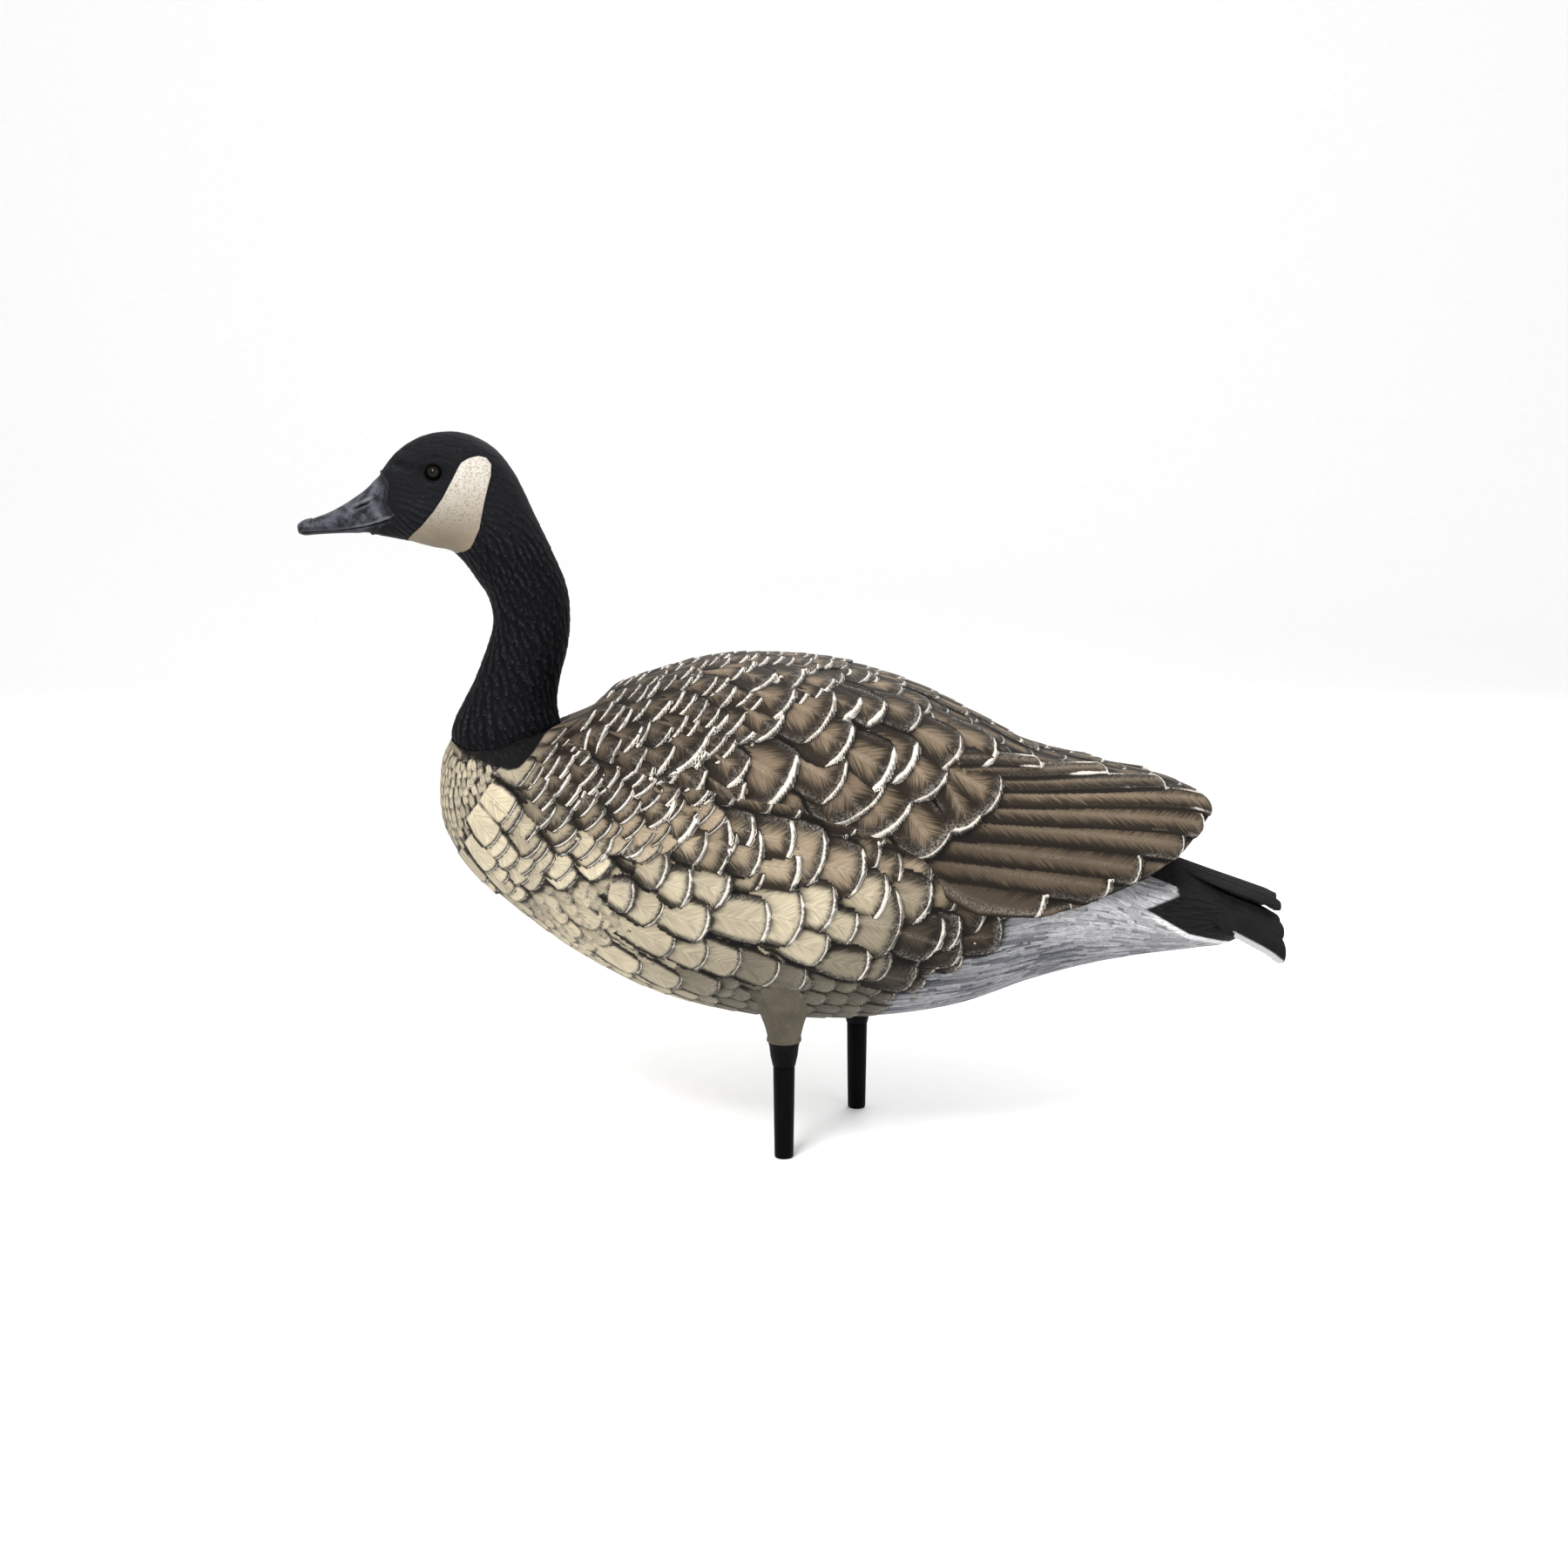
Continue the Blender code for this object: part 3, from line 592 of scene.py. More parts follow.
def turned(skin, i, j, degrees):
    """The streamline turned in the surface, towards the belly on either side where degrees is above 0."""
    d = streamline(skin, i, j)
    n = skin.normal[i, j]
    side = np.cross(n, d)
    if side[2] > 0:
        side = -side
    angle = math.radians(degrees)
    return d * math.cos(angle) + side * math.sin(angle)


def aim(degrees):
    """A heading in the side view, this far below straight back."""
    return np.array([math.cos(math.radians(degrees)), 0.0, -math.sin(math.radians(degrees))])


def flank_top(x):
    """Height of the upper edge of the flank feathers, under the wing."""
    xs = [-0.3, -0.19, -0.11, -0.03, 0.025, 0.066, 0.088, 0.11]
    return np.interp(x, xs, [0.33, 0.32, 0.3, 0.285, 0.268, 0.252, 0.235, 0.2])


def rump_line(z):
    """How far back the flank feathers reach, at a height."""
    return np.interp(z, [0.1, 0.129, 0.157, 0.182, 0.2, 0.235], [0.01, 0.036, 0.073, 0.096, 0.1, 0.096])


def body_tone(x, y, z):
    """Base paint of the body at a point, and how far it is upper flank and dark rear, from 0 to 1."""
    level = (z - 0.125) / (flank_top(x) - 0.125)
    brown = smooth(0.36, 1.08, level) * smooth(-0.26, -0.14, x)
    base = mix(mix(CREAM, TAN, smooth(0.1, 0.65, brown)), BROWN, 0.75 * smooth(0.6, 1.0, brown))
    # painted shade: the belly's underside is darker towards the bottom
    under = smooth(0.176, 0.148, z) * smooth(-0.14, -0.06, x)
    base = mix(base, colour("4c493f"), under * 0.92)
    rear = smooth(0.015, 0.075, x) * smooth(0.215, 0.175, z - 0.3 * (x - 0.05))
    base = mix(base, UMBER, rear * 0.92)
    return mix(base, BLACK, black_collar(x, y, z)), float(brown), float(rear)


def black_collar(x, y, z):
    """How far the neck's black paint runs down over the body, 0 or 1 with a narrow edge."""
    lowest = np.interp(x, [-0.2843, -0.2754, -0.2598, -0.2333, -0.2198, -0.211, -0.2021],
                       [0.3161, 0.309, 0.3044, 0.2984, 0.3012, 0.315, 0.3235])
    radius = np.hypot(x - NECK_X, y)
    reach = 0.0445 + 0.026 * smooth(0.9, 0.3, (x - NECK_X) / radius)
    return smooth(-0.0012, 0.0012, z - lowest) * smooth(0.0012, -0.0012, radius - reach)


def lay_pair(skin, cols, root, tip, half, lift, paint, **facts):
    """One feather on each side, from root to tip in the side view. cols counts the outer face's columns."""
    x, y, z = (skin.base[:, :cols, k] for k in range(3))

    def on_left(px, pz):
        return np.unravel_index(np.argmin(np.where(y < 0.001, (x - px) ** 2 + (z - pz) ** 2, 9)), y.shape)

    start, end = on_left(*root), on_left(*tip)
    heading = skin.base[end] - skin.base[start]
    length = float(np.linalg.norm(heading))
    opposite = (start[0], (cols - 1 - start[1]) if cols < skin.cols else -start[1] % cols)
    for at, way in ((start, heading), (opposite, heading * (1, -1, 1))):
        skin.feather(at, way, length, half, lift, paint, **facts)


# large flank feathers as root, tip and half width in the side view
FLANK = [
    ((-0.1339, 0.2923), (-0.114, 0.2722), 0.0156), ((-0.1223, 0.2832), (-0.0961, 0.2624), 0.0159),
    ((-0.114, 0.2598), (-0.0864, 0.2494), 0.0143), ((-0.109, 0.2584), (-0.0679, 0.2504), 0.0237),
    ((-0.0871, 0.2682), (-0.0517, 0.2621), 0.014), ((-0.0826, 0.2535), (-0.0452, 0.2462), 0.0184),
    ((-0.0617, 0.2621), (-0.0229, 0.2566), 0.0161), ((-0.0458, 0.2557), (-0.0008, 0.2423), 0.0231),
    ((-0.055, 0.2406), (-0.0178, 0.2357), 0.0176), ((-0.017, 0.2437), (0.0273, 0.2328), 0.0208),
    ((-0.0348, 0.2159), (0.0063, 0.2061), 0.0194), ((0.0024, 0.2235), (0.0431, 0.2135), 0.0195),
    ((0.0092, 0.2016), (0.0542, 0.1937), 0.0297), ((0.0353, 0.2235), (0.0737, 0.2076), 0.0183),
    ((0.0458, 0.1913), (0.083, 0.1791), 0.0205), ((0.0599, 0.1932), (0.0974, 0.1849), 0.0158),
    ((-0.0568, 0.2073), (-0.016, 0.1968), 0.0234), ((-0.0804, 0.2029), (-0.0401, 0.1961), 0.0191),
    ((-0.1024, 0.2321), (-0.0697, 0.2168), 0.0152), ((-0.119, 0.2255), (-0.0963, 0.2197), 0.016),
    ((-0.135, 0.2395), (-0.1142, 0.2322), 0.0165), ((-0.156, 0.217), (-0.1375, 0.2117), 0.015),
    ((-0.0137, 0.2015), (0.0225, 0.1907), 0.0141), ((-0.004, 0.1678), (0.0316, 0.161), 0.0165),
    ((-0.0338, 0.1862), (-0.0002, 0.1733), 0.0167), ((-0.1169, 0.2046), (-0.0837, 0.1932), 0.0176),
    ((-0.1499, 0.2667), (-0.1351, 0.2454), 0.0106), ((-0.1764, 0.2601), (-0.1543, 0.2489), 0.0139),
    ((-0.0921, 0.2641), (-0.0655, 0.2508), 0.0132),
]
# where the tail's black paint runs over the end of the body, in the side view
TAIL_BLACK = [
    (0.24, 0.194), (0.268, 0.201), (0.268, 0.245), (0.345, 0.245), (0.345, 0.152), (0.318, 0.16),
    (0.275, 0.173),
]


def halves(skin, name, look, keep=None):
    """The left and right halves of a skin whose columns start at the top, as two pieces."""
    half = skin.cols // 2
    sides = (("left", (0, half + 1)), ("right", (half, skin.cols + 1)))
    return [skin.emit(f"{name}_{side}", look, (0, skin.rows), cols, keep) for side, cols in sides]


def varied(paint, spread=0.28):
    """The paint, a little lighter or darker by chance."""
    return paint * (1 - spread / 2 + spread * rng.random())


def build_body():
    """The body's plumage in two halves: collar, breast, shoulder, flank, belly and rump."""
    points, first = body_grid(*BODY_GRID)
    skin = Skin(points)
    skin.face_out((0, 0, 0.23))
    last = skin.rows - 6
    x, y, z = skin.base[..., 0], skin.base[..., 1], skin.base[..., 2]
    # painted shade: the neck socket's lining is near-black
    skin.paint[:first] = SHADE_BLACK

    def rump(p, i, j):
        if p[0] < rump_line(p[2]) - 0.02 or (p[2] > 0.232 and p[0] < 0.21):
            return None
        # painted shade: rump feathers are darker low down
        underside = smooth(0.185, 0.15, p[2] + 0.1 * (p[0] - 0.2))
        tone = mix(GREY_WHITE, BLUE_GREY, 0.75 * rng.random() ** 1.4 + 0.45 * underside)

        def lay(at):
            way = turned(skin, *at, rng.normal(0, 5))
            skin.feather(at, way, 0.03, 0.0026, 0.0005, tone, white=0.0, dark=0.0, blunt=2.4, crown=0.5,
                         edge=0.0015, root_lift=0.6)

        return 0.0044, lay

    def belly(p, i, j):
        if p[0] > rump_line(p[2]) - 0.004 or p[2] > 0.205:
            return None
        size = 0.0165 if p[0] > -0.2 else 0.013
        way = aim(np.interp(p[0], [-0.2, 0.0, 0.08], [48, 34, 20]) + rng.normal(0, 6))
        base, _, rear = body_tone(*(p + way * 0.02))

        def lay(at):
            skin.feather(at, way, 0.028, size * 0.62, 0.0015, varied(base), white=0.15 + 0.5 * rear,
                         dark=0.0016 + 0.004 * rear, blunt=0.9)

        return size, lay

    def side(p, i, j):
        outside = p[0] > rump_line(p[2]) or p[0] < -0.175
        if outside or p[2] < 0.155 or p[2] > flank_top(p[0]) + 0.03:
            return None
        down = np.interp(p[0], [-0.16, -0.1, 0.0, 0.08], [30, 18, 8, 3]) + 14 * smooth(0.2, 0.16, p[2])
        way = aim(down + rng.normal(0, 4))
        base, brown, rear = body_tone(*(p + way * 0.036))
        size = 0.029

        def lay(at):
            skin.feather(at, way, 0.044, size * 0.58, 0.0017, varied(base), white=0.6 + 0.4 * brown,
                         dark=0.003 + 0.0075 * max(brown, rear), blunt=0.62, square=2.1, order=0.0006)

        return size, lay

    def shoulder(p, i, j):
        low = p[2] < 0.24 + 0.4 * (p[0] + 0.2)
        if p[0] > -0.1 or low or p[0] + 0.5 * (0.32 - p[2]) < -0.235:
            return None
        seen = p + aim(38) * 0.023
        high = smooth(0.245, 0.295, seen[2] - 0.25 * (seen[0] + 0.16))
        mantle = float(high * smooth(-0.235, -0.19, seen[0]))
        base = mix(mix(body_tone(*seen)[0], BROWN, mantle * 0.6), UMBER, mantle * 0.45)

        def lay(at):
            way = aim(38 + rng.normal(0, 4))
            skin.feather(at, way, 0.03, 0.0128, 0.0018, varied(base, 0.4), white=0.25 + 0.7 * mantle,
                         dark=0.002 + 0.0065 * mantle, blunt=0.55, slant=0.12, order=0.0014)

        return 0.0195, lay

    def breast(p, i, j):
        run = (i - first) / (last - first)
        if p[0] > -0.12 or run > 0.3 or p[2] < 0.15:
            return None
        size = 0.0042 + 0.0068 * smooth(0.0, 0.25, run)
        nape = float(smooth(0.298, 0.32, p[2]) * smooth(-0.235, -0.205, p[0]))
        black = float(black_collar(*p))
        base = mix(CREAM * 0.85, body_tone(*p)[0], smooth(0.1, 0.25, run))
        base = mix(mix(base, BROWN * 0.7, nape), BLACK, black)

        def lay(at):
            way = turned(skin, *at, rng.normal(0, 7))
            skin.feather(at, way, size * 2.2, size * 0.72, 0.0006 + 0.06 * size, varied(base, 0.5), blunt=1.0,
                         white=(0.2 + 0.5 * nape) * (1 - black), dark=0.0012 + 0.0035 * nape, crown=0.45,
                         order=0.0011 * (1 - smooth(0.02, 0.12, run)))

        return size, lay

    rows_of_feathers(skin, first + 300, last, 0.0125, rump, 0.3)
    rows_of_feathers(skin, first + 40, last, 0.015, belly)
    rows_of_feathers(skin, first + 60, last, 0.0235, side)
    for root, tip, half in FLANK:
        base, brown, rear = body_tone(tip[0], 0.0, tip[1])
        front = smooth(-0.1, -0.15, tip[0])
        lay_pair(skin, skin.cols, root, tip, half, 0.0024, varied(base), blunt=0.6, square=2.1, order=0.0011,
                 white=1.1 + 1.0 * rng.random() - 0.6 * front, dark=0.004 + 0.0085 * max(brown, rear))
    rows_of_feathers(skin, first + 4, first + 220, 0.0098, shoulder, 0.25)
    rows_of_feathers(skin, first, first + 170, 0.0066, breast, 0.25)

    black = black_collar(x, y, z)
    skin.height *= smooth(0, 10, np.arange(skin.rows) - first)[:, None] * (1 - 0.75 * blur(black, 2))
    skin.height[-6:] = 0
    inside = inside_distance(x, z, TAIL_BLACK)
    black = np.maximum(black, smooth(-0.001, 0.001, inside))
    skin.paint = mix(skin.paint, BLACK, black)
    line = smooth(0.0024, 0.0012, np.abs(inside + 0.0016)) * smooth(0.242, 0.25, x) * (z < 0.196)
    skin.paint = mix(skin.paint, colour("e0e0e2"), 0.9 * line)
    skin.tip *= 1 - black
    skin.dark *= 1 - black
    skin.finish(skin.height)
    skin.brush *= 1 - 0.85 * black

    # open under the back shell and over the leg sockets
    keep = (z <= np.interp(x, *np.array(RIM).T) + 0.03) | (x <= -0.15) | (x >= 0.225)
    for lx, ly in LEGS.values():
        keep &= (np.hypot(x - lx, y - ly) >= 0.0115) | (z >= 0.16)
    return halves(skin, "body_skin", plumage("body_plumage"), keep)


# ---------------------------------------------------------------- back and wings
def rim_limit(us):
    """Angle at which each back section reaches the lower rim."""
    angles = np.linspace(0.01, math.pi, 600)
    grid = section_points(spline(BACK, us)[:, None, :], angles[None, :])
    rx, rz = np.array(RIM).T
    below = grid[..., 2] < np.interp(grid[..., 0], rx, rz)
    first = np.argmax(below, 1)
    return np.maximum(angles[first], 0.35)


def back_grid(rows, cols, lining_cols=24):
    """Grid of the back shell: its outer face over cols columns, then the lining back under it."""
    us = np.linspace(0, len(BACK) - 1, 400)
    sections = spline(BACK, us)
    limits = rim_limit(us)
    outer = section_points(sections[:, None, :], limits[:, None] * np.linspace(-1, 1, cols))
    inset = np.minimum(0.0022, sections[:, 4] * 0.25)[:, None]
    shares = np.linspace(1, -1, lining_cols)
    inner = np.stack([section_points(sections, limits * share * 0.999, inset) for share in shares], 1)
    return resample(np.concatenate([outer, inner], 1), rows)


# where the scapulars' tips end, as height and x
SCAPULAR_END = (
    [0.236, 0.2475, 0.268, 0.277, 0.293, 0.316, 0.33, 0.345],
    [0.06, 0.078, 0.105, 0.12, 0.124, 0.117, 0.085, 0.06],
)
# wing quills as root, tip and half width in the side view, lower ones first
QUILLS = [
    ((0.045, 0.233), (0.156, 0.196), 0.015), ((0.06, 0.245), (0.209, 0.215), 0.015),
    ((0.07, 0.256), (0.234, 0.2265), 0.0138), ((0.085, 0.269), (0.269, 0.24), 0.013),
    ((0.095, 0.277), (0.287, 0.252), 0.0116), ((0.1, 0.286), (0.2955, 0.264), 0.011),
    ((0.1, 0.294), (0.258, 0.2827), 0.0098), ((0.1, 0.302), (0.213, 0.293), 0.0092),
    ((0.095, 0.31), (0.1602, 0.3003), 0.0086),
]
# scapulars and wing coverts, in the same way
SCAPULARS = [
    ((-0.1215, 0.3338), (-0.093, 0.3133), 0.0235), ((-0.1161, 0.3117), (-0.0885, 0.2939), 0.0143),
    ((-0.0894, 0.3235), (-0.0593, 0.3014), 0.0156), ((-0.09, 0.3049), (-0.0605, 0.2855), 0.0142),
    ((-0.0666, 0.3507), (-0.0372, 0.3309), 0.0174), ((-0.063, 0.3596), (-0.0259, 0.3469), 0.0195),
    ((-0.0653, 0.3171), (-0.0264, 0.295), 0.0259), ((-0.0384, 0.353), (0.0022, 0.3376), 0.0293),
    ((-0.0208, 0.3381), (0.0152, 0.3184), 0.0228), ((-0.0281, 0.3157), (0.0103, 0.2954), 0.0206),
    ((-0.0085, 0.3567), (0.0229, 0.3428), 0.015), ((0.0059, 0.3558), (0.0411, 0.3395), 0.0177),
    ((0.0052, 0.3229), (0.0458, 0.3024), 0.0217), ((0.027, 0.3263), (0.0623, 0.3057), 0.0218),
    ((0.0339, 0.3494), (0.0686, 0.3357), 0.0198), ((0.058, 0.3333), (0.0959, 0.3114), 0.0214),
    ((0.0905, 0.3292), (0.1252, 0.3093), 0.0232), ((-0.0032, 0.3155), (0.0252, 0.2752), 0.0296),
    ((0.0487, 0.3206), (0.0785, 0.2884), 0.021), ((0.0155, 0.3035), (0.048, 0.2647), 0.0271),
    ((0.0797, 0.3076), (0.1247, 0.2815), 0.0196), ((0.0801, 0.3033), (0.1025, 0.2633), 0.0149),
    ((0.048, 0.2883), (0.0796, 0.2481), 0.0203), ((-0.0483, 0.3688), (-0.0164, 0.3633), 0.0157),
    ((-0.0676, 0.3692), (-0.0412, 0.3601), 0.0165),
]


def build_back():
    """The back shell's plumage: mantle, scapulars and folded quills, in two halves."""
    rows, cols = BACK_GRID
    skin = Skin(back_grid(rows, cols))
    skin.face_out((0, 0, 0.2))
    # painted shade: the bare base that shows between feathers and quills is dark
    skin.paint[:] = BROWN * 0.5
    x, z = skin.base[..., 0], skin.base[..., 2]

    def tone(p):
        front = smooth(-0.02, -0.13, p[0])
        return mix(colour("7c6c59"), BROWN * 0.66, front) * (0.76 + 0.48 * rng.random())

    def mantle(p, i, j):
        seen = p + aim(38) * 0.024
        if j >= cols or seen[0] + 2.0 * (0.36 - seen[2]) > 0.012:
            return None

        def lay(at):
            way = aim(38 + rng.normal(0, 4))
            skin.feather(at, way, 0.032, 0.0138, 0.002, tone(seen), white=0.7 + 0.6 * rng.random(),
                         dark=0.0085, blunt=0.5, slant=0.12, order=0.0022)

        return 0.02, lay

    def scapular(p, i, j):
        low = smooth(0.31, 0.265, p[2])
        down = np.interp(p[0], [-0.06, 0.0, 0.04, 0.09], [40, 34, 22, 10])
        way = aim(down * (1 - low) + 44 * low + rng.normal(0, 3))
        length, half = 0.052, 0.0185
        tip = p + way * length
        if j >= cols or tip[0] + 2.0 * (0.36 - tip[2]) < -0.01 or tip[0] > np.interp(tip[2], *SCAPULAR_END):
            return None

        def lay(at):
            skin.feather(at, way, length, half, 0.0022, tone(tip), white=0.9, dark=0.0125, blunt=0.5,
                         square=2.0, slant=0.1 * (1 - low), order=0.0006)

        return 0.029, lay

    def spine(p, i, j):
        reach = np.interp(p[0], [-0.05, 0.05, 0.2], [0.05, 0.036, 0.012])
        if j >= cols or not -0.05 < p[0] < 0.2 or abs(p[1]) > reach:
            return None

        def lay(at):
            skin.feather(at, aim(0), 0.036, 0.0112, 0.0018, tone(p), white=1.2, dark=0.009, blunt=0.75,
                         order=0.0009)

        return 0.0175, lay

    def deck(p, i, j):
        if j >= cols or p[0] < 0.02:
            return None

        def lay(at):
            skin.feather(at, aim(4), 0.048, 0.0105, 0.0011, tone(p) * 0.7, white=0.5, dark=0.007, blunt=0.9)

        return 0.0175, lay

    rows_of_feathers(skin, 150, rows - 12, 0.026, deck, 0.22)
    for k, (root, tip, half) in enumerate(QUILLS):
        shade = 0.3 + 0.65 * smooth(0.2, 0.27, tip[1])
        lay_pair(skin, cols, root, tip, half, 0.0017, tone(tip) * shade, white=2.2, dark=0.0085, blunt=1.05,
                 root_lift=0.3, crown=0.45, edge=0.0022, taper=0.95, order=0.00045 * k)
    rows_of_feathers(skin, 60, 360, 0.0245, scapular, 0.08)
    rows_of_feathers(skin, 120, 350, 0.0245, spine, 0.22)
    for root, tip, half in SCAPULARS:
        lay_pair(skin, cols, root, tip, half, 0.0028, tone(tip), white=1.3 + 1.5 * rng.random() ** 2,
                 dark=0.014, blunt=0.55, square=2.0, order=0.0018 + 0.006 * max(tip[1] - 0.28, 0.0))
    rows_of_feathers(skin, 2, 250, 0.01, mantle, 0.28)

    # the lining is plain, and the lower rim and the front edge tuck in towards the body
    rim = np.minimum(np.arange(cols), np.arange(cols)[::-1])
    skin.height[:, :cols] *= smooth(0, 4, rim)
    skin.tip[:, cols:] = 0
    skin.edge[:, cols:] = 0.02
    skin.height[:, cols:] = 0
    # painted shade: the lining under the shell is near-black
    skin.paint[:, cols:] = SHADE_BLACK
    over = z - np.interp(x, *np.array(RIM).T)
    tuck = smooth(0.016, 0.0, over) * smooth(0.095, 0.075, x)
    sunk = np.maximum(tuck, smooth(26, 0, np.arange(rows))[:, None])
    skin.height *= 1 - 0.3 * sunk
    back = np.round(np.linspace(cols - 1, 0, skin.cols - cols)).astype(int)
    above = np.concatenate([np.arange(cols), back])
    outward = skin.normal[:, np.clip(above, 4, cols - 5)]
    skin.finish(skin.height, -0.0085 * sunk[:, above][..., None] * outward)
    look = plumage("wing_plumage")
    middle = cols // 2
    under = cols + (skin.cols - cols) // 2
    sides = (("wing_skin_left", (under, skin.cols + middle + 1)), ("wing_skin_right", (middle, under + 1)))
    return [skin.emit(name, look, (0, rows), columns) for name, columns in sides]


# ---------------------------------------------------------------- neck, head and bill
# where the head's feathers end at the bill, as heights and x
BILL_LINE = (
    [0.47, 0.4752, 0.4788, 0.4832, 0.4876, 0.4947, 0.5071, 0.5132, 0.52, 0.54],
    [-0.345, -0.3369, -0.3314, -0.3206, -0.3258, -0.3292, -0.327, -0.3303, -0.337, -0.36],
)
# the line between the bill's halves, as x and heights
MOUTH = ([-0.39, -0.3648, -0.3467, -0.3341, -0.3206], [0.4722, 0.4736, 0.4761, 0.4787, 0.4832])
# the pale cheek patch in the side view
CHEEK = [
    (-0.2692, 0.5236), (-0.2639, 0.5271), (-0.2575, 0.5288), (-0.252, 0.5276), (-0.2481, 0.5227),
    (-0.2481, 0.514), (-0.2527, 0.493), (-0.2563, 0.4755), (-0.261, 0.466), (-0.264, 0.4614),
    (-0.269, 0.4588), (-0.276, 0.4575), (-0.286, 0.454), (-0.308, 0.456), (-0.319, 0.464),
    (-0.3006, 0.4772), (-0.29, 0.488), (-0.2823, 0.4983), (-0.2748, 0.5122),
]


def inside_distance(x, z, outline):
    """Signed distance to an outline in the side view, above 0 inside."""
    nearest = np.full(x.shape, 9.0)
    crossings = np.zeros(x.shape, int)
    for (x0, z0), (x1, z1) in zip(outline, outline[1:] + outline[:1]):
        dx, dz = x1 - x0, z1 - z0
        t = np.clip(((x - x0) * dx + (z - z0) * dz) / (dx * dx + dz * dz), 0, 1)
        nearest = np.minimum(nearest, np.hypot(x - x0 - t * dx, z - z0 - t * dz))
        if dz:
            crossings += ((z0 > z) != (z1 > z)) & (x < x0 + (z - z0) * dx / dz)
    return np.where(crossings % 2 == 1, nearest, -nearest)


def neck_grid(rows, cols):
    """Grid of the neck from under its base to the closed bill tip, and how many rows are underneath."""
    angles = 2 * math.pi * np.arange(cols) / cols
    us = np.linspace(0, len(NECK) - 1, 700)
    fine = section_points(spline(NECK, us)[:, None, :], angles[None, :], power=2.0)
    skin = resample(fine, rows)
    rim = skin[0]
    azimuth = np.arctan2(rim[:, 1], rim[:, 0] - NECK_X)
    under = [np.stack([NECK_X + r * np.cos(azimuth), r * np.sin(azimuth), np.full(cols, h)], -1)
             for r, h in ((0.0385, 0.296), (0.0387, 0.2862), (0.04, NECK_BASE_Z))]
    middle = skin[-1].mean(0)
    shrink = (0.85, 0.6, 0.3, 0.02)
    closing = [middle + (skin[-1] - middle) * k + np.array([-0.0012 * (1 - k * k), 0, 0]) for k in shrink]
    return np.concatenate([np.array(under), skin, np.array(closing)]), len(under)


def head_relief(x, y, z, bill):
    """Height of the eyelids, brow, mouth, nostrils and nail. bill is a point's distance on to the bill."""
    side = smooth(0.004, 0.01, y)
    ex, _, ez = EYE_AT
    away = np.hypot(x - ex, (z - ez) * 1.12)
    lid = 0.0013 * bell(away - 0.0073, 0.0013) - 0.0075 * (1 - smooth(0.0052, 0.0064, away))
    brow = 0.0013 * bell(z - ez - 0.0092 + 22 * (x - ex - 0.002) ** 2, 0.0022) * bell(x - ex, 0.013)
    lore = -0.001 * bell(z - ez + 0.3 * (x - ex), 0.004) * smooth(0.028, 0.014, np.abs(x - ex + 0.024))
    puff = 0.001 * bell(z - 0.492, 0.01) * bell(x + 0.3, 0.014)
    face = side * (lid + brow + lore + puff)

    sunk = -0.0009 * smooth(-0.0006, 0.0006, bill) * smooth(0.012, 0.004, bill)
    collar = 0.0006 * bell(bill + 0.0016, 0.0012)
    mouth = z - np.interp(x, *MOUTH)
    in_mouth = smooth(-0.319, -0.3225, x) * smooth(-0.396, -0.392, x)
    lips = in_mouth * (-0.0011 * bell(mouth, 0.0007) + 0.0005 * bell(mouth - 0.0019, 0.0009))

    slope = z - 0.4929 - 0.42 * (x + 0.3466)
    hole = ((x + 0.3466) / 0.006) ** 2
    nostril = side * (0.0006 * bell(hole, 1 / 0.6) * bell(slope - 0.0026, 0.0012)
                      - 0.0016 * bell(hole, 1) * bell(slope, 0.0011))
    nail = 0.0007 * smooth(-0.386, -0.3885, x) * smooth(0.0085, 0.004, y) * smooth(0.474, 0.478, z)
    dent = -0.0004 * bell(x + 0.3868, 0.0008) * smooth(0.475, 0.479, z)
    return face + sunk + collar + lips + nostril + nail + dent


